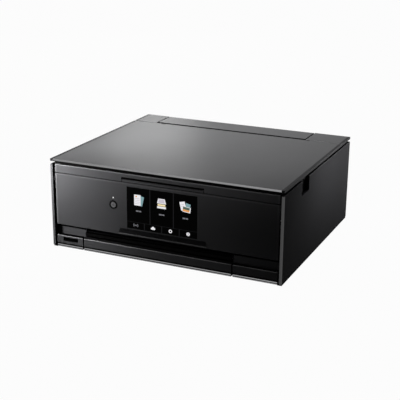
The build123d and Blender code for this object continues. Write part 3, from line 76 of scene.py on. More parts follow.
def add_node(material, kind, settings=None, inputs=None):
    """Add a node to a material or a world, with its settings and inputs."""
    node = material.node_tree.nodes.new(kind)
    for name, value in (settings or {}).items():
        setattr(node, name, value)
    set_inputs(material, node, inputs or {})
    return node


def start_material(name, colour, roughness, ior=1.5, metallic=0.0, gloss=0.5):
    """A new material with its shader's plain values set. Returns it with its shader."""
    material = bpy.data.materials.new(name)
    material.use_nodes = True
    shader = material.node_tree.nodes["Principled BSDF"]
    set_inputs(material, shader, {
        "Base Color": linear(colour), "Roughness": roughness, "Metallic": metallic, "IOR": ior,
        "Specular IOR Level": gloss})
    return material, shader


# On a Mix node set to colour, these are the two colours and the result.
MIX_FROM, MIX_TO, MIX_COLOUR = 6, 7, 2
print("mid grey in linear light:", linear("#808080"))

# %% [markdown]
# ## Moulded plastics
# Nearly everything outside is injection-moulded ABS or polystyrene. The mould's steel is spark
# eroded, and its fine pits leave a grain on the plastic that breaks up reflections. So one function
# makes them all: a fine noise for the grain, as a bump and as a change in roughness, and a slow
# noise for the slight unevenness of a large moulding.
# Edges can get a painted highlight: a lighter colour on the bevels, as if they caught the light. The bevels
# of these covers are the only faces that look along no axis, so the surface's own normal tells where they
# are.

# %% Moulded plastic
SLOW_SPOT_MM = 45.0
# Over the grain the roughness changes by this much, up and down.
GRAIN_POLISH = 0.05
# A face's largest part along an axis: 0.71 on a bevel, 0.95 on a gentle slope, 1 on a flat side.
BEVEL_PART, FLAT_PART = 0.955, 0.995


def painted_edge_highlights(material, surface, edge):
    """Paint a highlight on the bevels and roundings, which look along no axis of the object."""
    facing = add_node(material, "ShaderNodeTexCoord").outputs["Normal"]
    size = add_node(material, "ShaderNodeVectorMath", {"operation": "ABSOLUTE"}, {0: facing})
    part = add_node(material, "ShaderNodeSeparateXYZ", inputs={0: size.outputs["Vector"]})
    wide = add_node(material, "ShaderNodeMath", {"operation": "MAXIMUM"}, {
        0: part.outputs["X"], 1: part.outputs["Y"]})
    largest = add_node(material, "ShaderNodeMath", {"operation": "MAXIMUM"}, {
        0: wide.outputs["Value"], 1: part.outputs["Z"]})
    share = add_node(material, "ShaderNodeMapRange", inputs={
        "Value": largest.outputs["Value"], "From Min": BEVEL_PART, "From Max": FLAT_PART,
        "To Min": 1.0, "To Max": 0.0})
    lit = add_node(material, "ShaderNodeMix", {"data_type": "RGBA"}, {
        "Factor": share.outputs["Result"], MIX_FROM: surface, MIX_TO: linear(edge)})
    return lit.outputs[MIX_COLOUR]


def moulded_plastic(name, colour, uneven, roughness, gloss, grain_mm, depth_mm, ior=1.5, edge=None):
    """Plastic with a moulded grain. uneven is the colour of its slow, faint spots, and edge, if given, is
    the colour of a highlight painted on its bevels.
    """
    material, shader = start_material(name, colour, roughness, ior, gloss=gloss)
    place = add_node(material, "ShaderNodeTexCoord").outputs["Object"]
    slow = add_node(material, "ShaderNodeTexNoise", inputs={
        "Vector": place, "Scale": 1 / (SLOW_SPOT_MM * MM), "Detail": 1.0})
    shade = add_node(material, "ShaderNodeMix", {"data_type": "RGBA"}, {
        "Factor": slow.outputs["Fac"], MIX_FROM: linear(colour), MIX_TO: linear(uneven)})
    surface = shade.outputs[MIX_COLOUR]
    if edge:
        surface = painted_edge_highlights(material, surface, edge)
    grain = add_node(material, "ShaderNodeTexNoise", inputs={
        "Vector": place, "Scale": 1 / (grain_mm * MM), "Detail": 3.0})
    polish = add_node(material, "ShaderNodeMapRange", inputs={
        "Value": grain.outputs["Fac"],
        "To Min": roughness - GRAIN_POLISH, "To Max": roughness + GRAIN_POLISH})
    bump = add_node(material, "ShaderNodeBump", inputs={
        "Height": grain.outputs["Fac"], "Distance": depth_mm * MM, "Strength": 1.0})
    set_inputs(material, shader, {
        "Base Color": surface, "Roughness": polish.outputs["Result"], "Normal": bump.outputs["Normal"]})
    return material


# %% [markdown]
# ## The plastics of this printer
# Each plastic has its colour, the colour of its faint spots, its roughness and gloss, and the size and
# depth of its grain in millimetres. Real grain is often finer, and is drawn coarser where it should show.

# %% Plastic finishes
# The lid is satin ABS in slate grey: soft, broad reflections that brighten at a low angle.
slate_satin = moulded_plastic("slate satin abs", "#464647", "#434344", 0.30, 0.009, 0.9, 0.012)
# The front is the same ABS from a polished mould, in charcoal, with a faint orange peel.
# Its bevels get a lighter colour as a painted highlight.
charcoal_gloss = moulded_plastic(
    "charcoal polished abs", "#282829", "#262627", 0.36, 0.012, 2.5, 0.004, edge="#303031")
# The sides have a finer spark-eroded grain. It is drawn at 0.7 mm, coarser than real, so it shows.
# Its bevels get a lighter colour as a painted highlight too.
charcoal_grained = moulded_plastic(
    "charcoal grained polystyrene", "#222223", "#202021", 0.5, 0.001, 0.7, 0.02, edge="#3a3a3b")
# Where the front covers end, their top edges catch the light as a thin pale line, which is painted on as a
# highlight in these two lighter colours.
bright_painted_highlight = moulded_plastic("charcoal abs bright painted highlight", "#636364", "#606061", 0.36, 0.03, 2.5, 0.004)
pale_painted_highlight = moulded_plastic("charcoal abs pale painted highlight", "#434344", "#414142", 0.36, 0.03, 2.5, 0.004)
# What sits inside is plain black polystyrene, straight from a coarse mould.
inner_black = moulded_plastic("black moulded polystyrene", "#0e0e0f", "#0c0c0d", 0.55, 0.03, 0.8, 0.02)
# Seams, slots, gaps and recesses get painted shade in a deeper, matt black, because hardly any light gets
# into them.
painted_shade_black = moulded_plastic("matt black painted shade", "#060606", "#040404", 0.7, 0.01, 0.8, 0.01)
# Gears and pulleys are natural acetal, a waxy off-white.
natural_acetal = moulded_plastic("natural acetal", "#dedbd1", "#d6d2c6", 0.40, 0.5, 1.2, 0.006, ior=1.48)
# Ink tanks are black polypropylene, slightly waxy.
tank_polypropylene = moulded_plastic("black polypropylene", "#18191b", "#141416", 0.35, 0.5, 1.4, 0.008)
# Rubber scatters light more, and its pores are drawn at 0.5 mm, coarser than real.
black_rubber = moulded_plastic("black nitrile rubber", "#161616", "#111111", 0.75, 0.2, 0.5, 0.03, ior=1.52)
# The feed roller's coat is baked paint with grit in it, which grips the paper.
gritty_coat = moulded_plastic("grit coated roller", "#5b5c5e", "#525355", 0.70, 0.5, 0.35, 0.05)
# The backing sheet under the lid is white film on foam.
white_film = moulded_plastic("white polyester film", "#eeeeec", "#e8e8e5", 0.50, 0.5, 1.5, 0.006)
print("materials so far:", len(bpy.data.materials))

# %% [markdown]
# ## Metals
# The chassis and the rails are zinc-plated steel sheet. Rolling leaves fine lines along the sheet,
# so a noise that is stretched along one axis scratches the plating. Metal keeps the default IOR,
# because its colour already says how it reflects.

# %% Zinc-plated steel
# Real rolling lines are finer, and are drawn this coarse so that they show.
ROLLING_LINE_MM = 0.6
# The noise is stretched fifty times along X.
ROLLING_STRETCH = (0.02, 1.0, 1.0)


def plated_steel(name, colour, roughness, streaks=0.1):
    """Bright plated sheet with rolling lines along X. streaks is how much they change the polish."""
    material, shader = start_material(name, colour, roughness, metallic=1.0)
    place = add_node(material, "ShaderNodeTexCoord").outputs["Object"]
    lines = add_node(material, "ShaderNodeMapping", inputs={"Vector": place, "Scale": ROLLING_STRETCH})
    noise = add_node(material, "ShaderNodeTexNoise", inputs={
        "Vector": lines.outputs["Vector"], "Scale": 1 / (ROLLING_LINE_MM * MM), "Detail": 2.0})
    polish = add_node(material, "ShaderNodeMapRange", inputs={
        "Value": noise.outputs["Fac"], "To Min": roughness - streaks, "To Max": roughness + streaks})
    set_inputs(material, shader, {"Roughness": polish.outputs["Result"]})
    return material


zinc_steel = plated_steel("zinc plated steel", "#b9bcbf", 0.34)
# Trim on the covers is plated too: a polished strip on the lid, and two satin lines along the foot.
lid_plating = plated_steel("polished plated lid trim", "#8b8b8c", 0.05, 0.02)
bright_plating = plated_steel("satin plated upper trim", "#9c9c9d", 0.15, 0.03)
dull_plating = plated_steel("satin plated lower trim", "#7c7c7d", 0.15, 0.03)
print("materials so far:", len(bpy.data.materials))

# %% [markdown]
# ## Glass, film and circuit board
# The platen is clear float glass. The touch screen is a deep black glass face that hardly mirrors
# anything, and a slow noise in its polish stands for smears. The encoder film carries fine dark bars
# that the carriage counts. The real bars are 0.17 mm apart; they are drawn at 1 mm so that they show.
# The board is green solder mask over copper, and a brick pattern stands for its runs of copper.

# %% Glass, film and board
platen_glass, shader = start_material("clear float glass", "#f2f8f5", 0.02, ior=1.52)
set_inputs(platen_glass, shader, {"Transmission Weight": 1.0})

SMEAR_MM = 20.0
WIPED, SMEARED = 0.08, 0.18
touch_glass, shader = start_material("black touch glass", "#020202", 0.12, gloss=0.01)
place = add_node(touch_glass, "ShaderNodeTexCoord").outputs["Object"]
smear = add_node(touch_glass, "ShaderNodeTexNoise", inputs={
    "Vector": place, "Scale": 1 / (SMEAR_MM * MM)})
polish = add_node(touch_glass, "ShaderNodeMapRange", inputs={
    "Value": smear.outputs["Fac"], "To Min": WIPED, "To Max": SMEARED})
set_inputs(touch_glass, shader, {"Roughness": polish.outputs["Result"]})

BAR_PITCH_MM = 1.0
# At scale 1, a wave texture draws 20 bars in a length of 2 pi.
WAVE_BARS = 20
encoder_film, shader = start_material("encoder film", "#9a9ca0", 0.25)
place = add_node(encoder_film, "ShaderNodeTexCoord").outputs["Object"]
bars = add_node(encoder_film, "ShaderNodeTexWave", inputs={
    "Vector": place, "Scale": 2 * math.pi / (WAVE_BARS * BAR_PITCH_MM * MM)})
barred = add_node(encoder_film, "ShaderNodeMix", {"data_type": "RGBA"}, {
    "Factor": bars.outputs["Fac"], MIX_FROM: linear("#2a2b2d"), MIX_TO: linear("#b4b7bb")})
set_inputs(encoder_film, shader, {"Base Color": barred.outputs[MIX_COLOUR]})

# Real runs of copper lie closer together, and are drawn this far apart so that they show.
COPPER_RUN_MM = 3.0
COPPER_WIDTH = 0.08
MASK_GREEN = "#1d5a34"
solder_mask, shader = start_material("green solder mask", MASK_GREEN, 0.35)
place = add_node(solder_mask, "ShaderNodeTexCoord").outputs["Object"]
runs = add_node(solder_mask, "ShaderNodeTexBrick", inputs={
    "Vector": place, "Scale": 1 / (COPPER_RUN_MM * MM), "Mortar Size": COPPER_WIDTH,
    "Color1": linear(MASK_GREEN), "Color2": linear("#1a5230"), "Mortar": linear("#2f7a48")})
set_inputs(solder_mask, shader, {"Base Color": runs.outputs["Color"]})
print("materials:", [m.name for m in bpy.data.materials])

# %% [markdown]
# ## The power lamp and the pixels of the screen
# The screen's icons and the small lamp give off light of their own. Each is nearly black and emits
# its colour, at about the strength of white paper in the room. A white base would add the lamps'
# light to that and burn out. The cells of a fine pattern dim it a little, as the gaps between
# pixels do.

# %% Glowing finishes
# Real pixels are finer, and are drawn this coarse so that they show.
PIXEL_SPOT_MM = 0.4
PIXEL_BASE = "#040404"
PIXEL_ROUGHNESS, PIXEL_GLOSS = 0.4, 0.02
GAP_DIMMING = 0.9


def glowing(name, colour, strength):
    """A nearly black finish that gives off light of one colour."""
    material, shader = start_material(name, PIXEL_BASE, PIXEL_ROUGHNESS, gloss=PIXEL_GLOSS)
    place = add_node(material, "ShaderNodeTexCoord").outputs["Object"]
    pixels = add_node(material, "ShaderNodeTexVoronoi", inputs={
        "Vector": place, "Scale": 1 / (PIXEL_SPOT_MM * MM)})
    dimmed = add_node(material, "ShaderNodeMapRange", inputs={
        "Value": pixels.outputs["Distance"], "To Min": strength, "To Max": GAP_DIMMING * strength})
    set_inputs(material, shader, {
        "Emission Color": linear(colour), "Emission Strength": dimmed.outputs["Result"]})
    return material


pixel_white = glowing("screen white", "#f4f3f6", 0.95)
pixel_lilac = glowing("screen lilac", "#cfc8d4", 0.95)
pixel_grey = glowing("screen grey", "#8c8c92", 0.7)
pixel_line = glowing("screen divider", "#1a1a1c", 0.9)
pixel_teal = glowing("screen teal", "#86aab0", 0.9)
pixel_green = glowing("screen green", "#566a5c", 0.9)
pixel_yellow = glowing("screen yellow", "#fbe7b4", 0.95)
pixel_orange = glowing("screen orange", "#eda25c", 0.95)
lamp_white = glowing("lamp lens", "#ffffff", 0.9)
print("materials so far:", len(bpy.data.materials))

# %% [markdown]
# ## Finishes for the CAD nodes
# The record names a material slot for every CAD node. A table from slot to finish dresses all of
# them in one loop, so a new node that uses a known slot is dressed without another line.

# %% Dress the CAD nodes
finishes = {
    "lid_grey": slate_satin,
    "front_gloss": charcoal_gloss,
    "side_textured": charcoal_grained,
    "inner_black": inner_black,
    "screen_black": touch_glass,
    "lamp_lens": lamp_white,
    "platen_glass": platen_glass,
    "backing_white": white_film,
    "steel": zinc_steel,
    "rubber_black": black_rubber,
    "roller_grey": gritty_coat,
    "gear_white": natural_acetal,
    "board_green": solder_mask,
    "tank_black": tank_polypropylene,
    "film_clear": encoder_film,
}
for part in frame["record"]["subparts"]:
    mesh = nodes[part["node"]].data
    mesh.materials.clear()
    mesh.materials.append(finishes[part["material_slot"]])

# %% [markdown]
# ## Drawing on a front face
# The icons are thin prints on a face that looks to the front, along -Y. They are drawn flat, with x
# to the right and z up, in millimetres. Most shapes start from a bmesh operator. One last step
# extrudes the whole drawing by the print's thickness and puts it on the face.

# %% Shapes for prints
ROUND_SEGMENTS = 32
PRINT_THICKNESS = 0.08 * MM
to_front = Matrix.Rotation(math.pi / 2, 4, "X")


def at(x, z, turn=0.0):
    """A place on the drawing, turned by some degrees."""
    place = Matrix.Translation((x * MM, 0, z * MM))
    return place @ to_front @ Matrix.Rotation(math.radians(turn), 4, "Z")


def plate(drawing, x, z, width, height, turn=0.0):
    """A flat rectangle round a middle."""
    size = Matrix.Diagonal((width * MM, height * MM, 1, 1))
    bmesh.ops.create_grid(drawing, x_segments=1, y_segments=1, size=0.5, matrix=at(x, z, turn) @ size)


def disc(drawing, x, z, radius):
    """A filled circle."""
    bmesh.ops.create_circle(
        drawing, cap_ends=True, radius=radius * MM, segments=ROUND_SEGMENTS, matrix=at(x, z))


def arc(drawing, x, z, inner, outer, first=0.0, last=360.0):
    """A ring, or a part of one between two angles, swept from one short edge."""
    whole = last - first >= 360.0
    ends = [drawing.verts.new((radius * MM, 0, 0)) for radius in (inner, outer)]
    edge = drawing.edges.new(ends)
    turn = Matrix.Rotation(math.radians(first), 4, "Y").inverted()
    place = Matrix.Translation((x * MM, 0, z * MM))
    bmesh.ops.transform(drawing, matrix=place @ turn, verts=ends)
    steps = max(3, round(ROUND_SEGMENTS * (last - first) / 360.0))
    bmesh.ops.spin(
        drawing, geom=[*ends, edge], cent=(x * MM, 0, z * MM), axis=(0, -1, 0),
        angle=math.radians(last - first), steps=steps, use_merge=whole)


def outline(drawing, *points):
    """A flat face between corners."""
    drawing.faces.new([drawing.verts.new((x * MM, 0, z * MM)) for x, z in points])


def add_piece(name, drawing, material, body):
    """Turn a finished bmesh into an object that rides on a body."""
    bmesh.ops.recalc_face_normals(drawing, faces=drawing.faces)
    mesh = bpy.data.meshes.new(name)
    drawing.to_mesh(mesh)
    drawing.free()
    mesh.materials.append(material)
    piece = bpy.data.objects.new(name, mesh)
    bpy.context.scene.collection.objects.link(piece)
    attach(piece, body)
    print(name, "has", len(mesh.polygons), "faces")


def thicken(drawing, step):
    """Extrude every face of a flat drawing by a step."""
    grown = bmesh.ops.extrude_face_region(drawing, geom=drawing.faces[:])
    moved = [v for v in grown["geom"] if isinstance(v, bmesh.types.BMVert)]
    bmesh.ops.translate(drawing, verts=moved, vec=step)


def add_print(name, drawing, face_y, layer, material, body, way=-1):
    """Extrude a flat drawing to a thin print, on top of the layers below it. way 1 is for a back face."""
    thicken(drawing, (0, way * PRINT_THICKNESS, 0))
    place = (0, face_y * MM + way * layer * PRINT_THICKNESS, 0)
    bmesh.ops.translate(drawing, verts=drawing.verts, vec=place)
    add_piece(name, drawing, material, body)


# %% [markdown]
# ## The touch screen's page
# The screen shows three large tiles above a row of four small buttons, with hairline dividers. The
# icons are plain signs that any printer could show, and a pair of short grey bars closes each tile.
# All are prints on the glass, so one helper puts a drawing on the screen.

# %% Screen dividers
def in_mm(box):
    """The two corners of a box, in millimetres."""
    return [[v / MM for v in corner] for corner in box]


(screen_left, screen_front, screen_bottom), (screen_right, _, screen_top) = in_mm(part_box("display_module"))
screen_width = screen_right - screen_left
ROW_HEIGHT = 10.6
DIVIDER, COLUMN_DIVIDER = 0.5, 1.4
row_top = screen_bottom + ROW_HEIGHT
spot_z = (screen_bottom + row_top) / 2


def on_screen(name, drawing, layer, material):
    """Print a drawing on the touch screen."""
    add_print(name, drawing, screen_front, layer, material, "operation_panel")


page = bmesh.new()
plate(page, (screen_left + screen_right) / 2, row_top, screen_width, DIVIDER)
tile_z, tile_height = (row_top + screen_top) / 2, screen_top - row_top - DIVIDER
for i in (1, 2):
    plate(page, screen_left + i * screen_width / 3, tile_z, COLUMN_DIVIDER, tile_height)
for i in (1, 2, 3):
    plate(page, screen_left + i * screen_width / 4, spot_z, COLUMN_DIVIDER, ROW_HEIGHT - DIVIDER)
on_screen("screen_dividers", page, 0, pixel_line)

# %% [markdown]
# ## The three tiles
# Each tile holds one sign: two sheets, a flatbed with its lid up, and a sheet with a picture. A real
# screen lights single pixels, so these are thin printed layers, and each layer has one colour. What
# lies in front goes on a higher layer, which keeps two colours from lying in the same plane. Most
# shapes are plates, so a table holds them, and a second one holds the corners of the flatbed's lid.

# %% Tile icons
ICON_DROP, CAPTION_Z = 18.6, -16.8
COPY, SCAN, PRINT = range(3)
tiles = [screen_left + (i + 0.5) * screen_width / 3 for i in range(3)]
icon_z = screen_top - ICON_DROP
TILE_PLATES = {
    # print: layer, finish, and the tile, place from its sign's middle, size and turn of each plate
    "icon_back_sheets": (0, pixel_teal, [
        (COPY, 3.9, -0.7, 7.8, 14.6, -13), (PRINT, 3.8, 1.0, 7.6, 10.2, -12)]),
    "icon_front_sheets": (1, pixel_white, [
        (COPY, -1.5, 0, 10.6, 16.4, 0), (SCAN, 0, -5.8, 14.0, 3.0, 0), (PRINT, -3.6, 1.6, 8.4, 12.8, 13)]),
    "icon_tints": (2, pixel_lilac, [
        *((COPY, -1.5, 2.4 - 2.6 * line, 8.2, 0.7, 0) for line in range(4)),
        (PRINT, -4.2, 3.6, 5.4, 0.7, 13), (PRINT, -3.6, 1.2, 5.4, 0.7, 13)]),
    "icon_picture_card": (2, pixel_white, [(PRINT, 2.2, -3.1, 12.4, 8.2, -6)]),
    "icon_picture_hills": (3, pixel_green, [(PRINT, 1.9, -1.4, 10.6, 3.8, -6)]),
    "icon_picture_field": (3, pixel_orange, [(PRINT, 1.5, -4.8, 10.6, 2.9, -6)]),
    "icon_scan_light": (2, pixel_yellow, [(SCAN, 0, -2.2, 12.2, 2.8, 0)]),
    "icon_words": (2, pixel_grey, [
        *((tile, -1.8, CAPTION_Z, 4.4, 2.0, 0) for tile in range(3)),
        *((tile, 2.8, CAPTION_Z, 3.4, 2.0, 0) for tile in range(3))]),
}
# The copied sheet has one orange dot.
DOT_X, DOT_Z, DOT_RADIUS = -3.4, 5.4, 1.2
LID_CORNERS = {
    "icon_front_sheets": ((-5.2, 7.4), (-7.2, 0), (7.2, 0), (5.2, 7.4)),
    "icon_tints": ((-4.3, 6.5), (-5.4, 1.0), (5.4, 1.0), (4.3, 6.5)),
}
for name, (layer, finish, plates) in TILE_PLATES.items():
    drawing = bmesh.new()
    for tile, x, z, width, height, turn in plates:
        plate(drawing, tiles[tile] + x, icon_z + z, width, height, turn)
    if name in LID_CORNERS:
        outline(drawing, *((tiles[SCAN] + x, icon_z + z) for x, z in LID_CORNERS[name]))
    if name == "icon_picture_field":
        disc(drawing, tiles[COPY] + DOT_X, icon_z + DOT_Z, DOT_RADIUS)
    on_screen(name, drawing, layer, finish)

# %% [markdown]
# ## The row of small buttons
# Under the tiles are four small signs: radio waves, a cloud, a ring and a disc with a mark. Waves and
# ring are one short edge swept round a centre, and the cloud is three discs that overlap on a bar.

# %% Row icons
spots = [screen_left + (i + 0.5) * screen_width / 4 for i in range(4)]
WAVE_RISE, WAVE_STROKE, WAVE_HALF_ANGLE = 0.6, 0.7, 40
WAVE_RADII, WAVE_DOT = (2.4, 4.0), 0.9
# Each disc of the cloud is x, z and radius, and its bar is x, z, width and height.
CLOUD_DISCS = ((-1.9, -0.5, 1.5), (0.2, 0.4, 2.2), (2.3, -0.6, 1.4))
CLOUD_BAR = (0.2, -1.45, 4.2, 1.1)
RING_INNER, RING_OUTER = 1.4, 2.7
MARK_DROP, MARK_WIDTH, MARK_HEIGHT = 0.7, 0.9, 2.4
MARK_DOT_RISE, MARK_DOT = 1.5, 0.55
wave_z = spot_z + WAVE_RISE

waves = bmesh.new()
for radius in WAVE_RADII:
    for middle in (0, 180):
        arc(waves, spots[0], wave_z, radius - WAVE_STROKE, radius,
            middle - WAVE_HALF_ANGLE, middle + WAVE_HALF_ANGLE)
disc(waves, spots[0], wave_z, WAVE_DOT)
on_screen("row_icon_waves", waves, 0, pixel_grey)

row = bmesh.new()
for x, z, radius in CLOUD_DISCS:
    disc(row, spots[1] + x, spot_z + z, radius)
x, z, width, height = CLOUD_BAR
plate(row, spots[1] + x, spot_z + z, width, height)
arc(row, spots[2], spot_z, RING_INNER, RING_OUTER)
disc(row, spots[3], spot_z, RING_OUTER)
on_screen("row_icons", row, 0, pixel_white)

mark = bmesh.new()
plate(mark, spots[3], spot_z - MARK_DROP, MARK_WIDTH, MARK_HEIGHT)
disc(mark, spots[3], spot_z + MARK_DOT_RISE, MARK_DOT)
on_screen("row_icon_mark", mark, 1, touch_glass)

# %% [markdown]
# ## The power button
# The button's cap stands in a round hole. A black ring of painted shade lies in the gap round the cap, and a
# narrow black rim of painted shade goes round the hole. The cap has a slate face, and on it is the common
# power sign: a broken ring with a bar through the gap. All four are thin prints.

# %% Power button ring and sign
(cap_left, cap_front, cap_low), (cap_right, _, cap_high) = in_mm(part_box("power_button"))
button_x, button_z = (cap_left + cap_right) / 2, (cap_low + cap_high) / 2
# The panel, the strip over it and the covers at the foot share one front face.
face = in_mm(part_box("cassette_front"))[0][1]
CAP_RADIUS, RING_RADIUS, RIM_RADIUS = 4.0, 6.15, 6.9
RING_DEPTH, RIM_GAP = 0.72, 0.1
SIGN_INNER, SIGN_OUTER = 1.0, 1.6
SIGN_BAR_RISE, SIGN_BAR_WIDTH, SIGN_BAR_HEIGHT = 1.2, 0.6, 1.6
# The broken ring leaves 70 degrees open at the top.
SIGN_FIRST, SIGN_LAST = 125, 415
cap_slate = moulded_plastic("slate polished abs", "#454546", "#434344", 0.36, 0.03, 2.5, 0.004)

ring = bmesh.new()
arc(ring, button_x, button_z, CAP_RADIUS, RING_RADIUS)
add_print("button_gap_shade", ring, cap_front + RING_DEPTH, 0, painted_shade_black, "button")

cap = bmesh.new()
disc(cap, button_x, button_z, CAP_RADIUS)
add_print("button_cap_face", cap, cap_front, 0, cap_slate, "button")

rim = bmesh.new()
arc(rim, button_x, button_z, RING_RADIUS + RIM_GAP, RIM_RADIUS)
add_print("button_hole_shade", rim, face, 0, painted_shade_black, "operation_panel")

sign = bmesh.new()
arc(sign, button_x, button_z, SIGN_INNER, SIGN_OUTER, SIGN_FIRST, SIGN_LAST)
plate(sign, button_x, button_z + SIGN_BAR_RISE, SIGN_BAR_WIDTH, SIGN_BAR_HEIGHT)
add_print("power_sign", sign, cap_front, 1, inner_black, "button")

# %% [markdown]
# ## Bars
# Nearly all the trim is straight, so one helper makes it. A bar is a cube that is scaled to size and
# bevelled, which is simpler than a swept profile.

# %% Helper for trim
LINE_ROUND = 0.2
# The finish and the slot of every black bar of painted shade.
PAINTED_SHADE = (painted_shade_black, "inner_black")
SIDES = (("left", -1), ("right", 1))


def bar(name, low, high, rounding, body, material, slot):
    """A straight bar between two corners, in millimetres, with its edges rounded."""
    size = Vector([b - a for a, b in zip(low, high)]) * MM
    centre = Vector([(a + b) / 2 for a, b in zip(low, high)]) * MM
    place = Matrix.Translation(centre) @ Matrix.Diagonal((*size, 1))
    moulding = bmesh.new()
    bmesh.ops.create_cube(moulding, size=1.0, matrix=place)
    bmesh.ops.bevel(
        moulding, geom=moulding.edges[:], offset=rounding * MM, affect="EDGES", segments=2,
        profile=0.5, material=-1)
    add_piece(name, moulding, material, body)


# %% [markdown]
# ## Trim along the foot
# Two pale lines run along the foot of the three front covers: a bright one on the slope of the base
# lip and a duller one under it. They are plated strips pressed into the charcoal, so they mirror
# the table and stay bright where the covers themselves are dark. Each is one rounded bar. The groove
# above them lies in its own shadow on the real covers, so a matt black bar fills it. Much of the trim
# lies along the front face, so a helper makes such bars from a table of their distances.

# %% Foot lines
(strip_left, _, strip_bottom), (strip_right, _, strip_top) = in_mm(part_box("front_strip"))
(cassette_left, _, foot), (cassette_right, _, block_top) = in_mm(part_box("cassette_front"))
BLOCK_GAP = 2.2
front_spans = {
    "card_block": (strip_left, cassette_left - BLOCK_GAP, "base"),
    "cassette": (cassette_left, cassette_right, "cassette"),
    "right_block": (cassette_right + BLOCK_GAP, strip_right, "base"),
}


def face_bars(left, right, body, rows, prefix=""):
    """Bars along the front face, in millimetres.

    A row holds the gap at each end, front and back from the face, a level, low and high from that
    level, the rounding, the finish and the slot.
    """
    for name, (gap, front, back, level, low, high, rounding, finish, slot) in rows.items():
        bar(prefix + name, (left + gap, face + front, level + low),
            (right - gap, face + back, level + high), rounding, body, finish, slot)


for cover, (left, right, body) in front_spans.items():
    face_bars(left, right, body, {
        "_upper_line": (0.3, 0.1, 1.3, foot, 2.3, 3.8, 0.25, bright_plating, "front_gloss"),
        "_lower_line": (0.3, -0.2, 0.4, foot, 0.05, 1.5, 0.2, dull_plating, "front_gloss"),
        "_groove": (0.3, -0.03, 1.7, foot, 3.75, 6.4, 0.05, *PAINTED_SHADE)}, cover)

# %% [markdown]
# ## Painted shade behind the front blocks
# The two front blocks are thin cosmetic covers. Behind their top edge a narrow band lies in shade, and over
# the shoulder another dark line parts it from the panel. Both are low black bars of painted shade.

# %% Ledges
SHADE_LEFT, SHADE_RIGHT = 2.0, 1.8
shoulder_top = in_mm(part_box("card_slot_block"))[1][2]
for cover in ("card_block", "right_block"):
    left, right, body = front_spans[cover]
    face_bars(left, right, body, {
        "_ledge_shade": (0.3, 1.3, 7.95, block_top, -0.2, 0.1, 0.05, *PAINTED_SHADE)}, cover)
    face_bars(left - SHADE_LEFT, right + SHADE_RIGHT, body, {
        "_shoulder_shade": (0, 7.9, 10.5, shoulder_top, -1.0, 0.05, 0.05, *PAINTED_SHADE)}, cover)

# %% [markdown]
# ## Inside the card slot and the finger slot
# The slot for memory cards and the long one for the fingertips are deep dark mouths. Their walls get painted
# shade: a matt black lining, because bare charcoal would catch the light. A lining is a frame: a flat ring
# of four sides that is extruded inwards. The real slots have a rounded lower edge that lies in shade, so a
# low black bar of painted shade stands for it under each mouth. One more darkens the seam over the panel.

# %% Slot linings
LINING_WALL, LINING_PLAY, LINING_SET_IN = 0.15, 0.02, 0.3
# Lines on the front stand this far out of its face, so that they show.
PROUD = 0.04


def slot_shade_frame(name, x, z, width, height, depth, body):
    """A black frame of painted shade inside a slot of the front face, in millimetres."""
    mouth = bmesh.new()
    plate(mouth, x, z, width - LINING_PLAY, height - LINING_PLAY)
    ring = bmesh.ops.inset_region(
        mouth, faces=mouth.faces[:], thickness=LINING_WALL * MM, use_boundary=True,
        use_even_offset=True)
    inner = [f for f in mouth.faces if f not in ring["faces"]]
    bmesh.ops.delete(mouth, geom=inner, context="FACES")
    thicken(mouth, (0, depth * MM, 0))
    bmesh.ops.translate(mouth, verts=mouth.verts, vec=(0, (face + LINING_SET_IN) * MM, 0))
    add_piece(name, mouth, painted_shade_black, body)


CARD_WIDTH, CARD_HEIGHT, CARD_DEPTH = 25.6, 5.2, 13.6
CARD_FROM_END, CARD_Z = 23.5, 14.2
card_x = strip_left + CARD_FROM_END
card_low = CARD_Z - CARD_HEIGHT / 2
slot_shade_frame("card_slot_lining", card_x, CARD_Z, CARD_WIDTH, CARD_HEIGHT, CARD_DEPTH, "base")
face_bars(card_x - CARD_WIDTH / 2, card_x + CARD_WIDTH / 2, "base", {
    "card_slot_shade": (0, -PROUD, 0.5, card_low, -1.0, 0, 0.1, *PAINTED_SHADE)})

FINGER_WIDTH, FINGER_HEIGHT, FINGER_DEPTH, FINGER_LIP = 132.0, 2.4, 9.6, 4.3
finger_low = strip_bottom + FINGER_LIP
finger_z = finger_low + FINGER_HEIGHT / 2
slot_shade_frame("finger_slot_lining", 0, finger_z, FINGER_WIDTH, FINGER_HEIGHT, FINGER_DEPTH, "scanner_unit")
face_bars(strip_left, strip_right, "scanner_unit", {
    "panel_seam_shade": (1.0, 0.3, 1.4, strip_bottom, -0.9, 0.02, 0.1, *PAINTED_SHADE)})
face_bars(-FINGER_WIDTH / 2, FINGER_WIDTH / 2, "scanner_unit", {
    "finger_slot_shade": (0, -PROUD, 0.5, finger_low, -0.9, 0, 0.1, *PAINTED_SHADE)})

# %% [markdown]
# ## Black seams of the paper opening
# Seams and the opening over the cassette read as black in the real printer, because hardly any light gets
# in. Thin black linings of painted shade on the end faces of the covers and on the output tray's front edge
# keep them so under the studio lamps.

# %% Seam linings
END_HALF = 0.1
for name, x, body in (
        ("card_block_end", cassette_left - BLOCK_GAP, "base"),
        ("right_block_end", cassette_right + BLOCK_GAP, "base"),
        ("cassette_left_end", cassette_left, "cassette"),
        ("cassette_right_end", cassette_right, "cassette")):
    face_bars(x - END_HALF, x + END_HALF, body, {
        name: (0, 0.4, 7.5, 0, foot + 0.6, block_top - 0.4, 0.03, *PAINTED_SHADE)})

TRAY_SIDE, TRAY_PROUD, TRAY_SHADE_DEPTH = 0.4, 0.12, 6.0
TRAY_LOW, TRAY_RISE = 0.1, 0.06
(tray_left, tray_front, tray_bottom), (tray_right, _, tray_top) = in_mm(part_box("output_tray"))
bar("output_tray_shade", (tray_left + TRAY_SIDE, tray_front - TRAY_PROUD, tray_bottom + TRAY_LOW),
    (tray_right - TRAY_SIDE, tray_front + TRAY_SHADE_DEPTH, tray_top + TRAY_RISE),
    0.1, "paper_output", *PAINTED_SHADE)
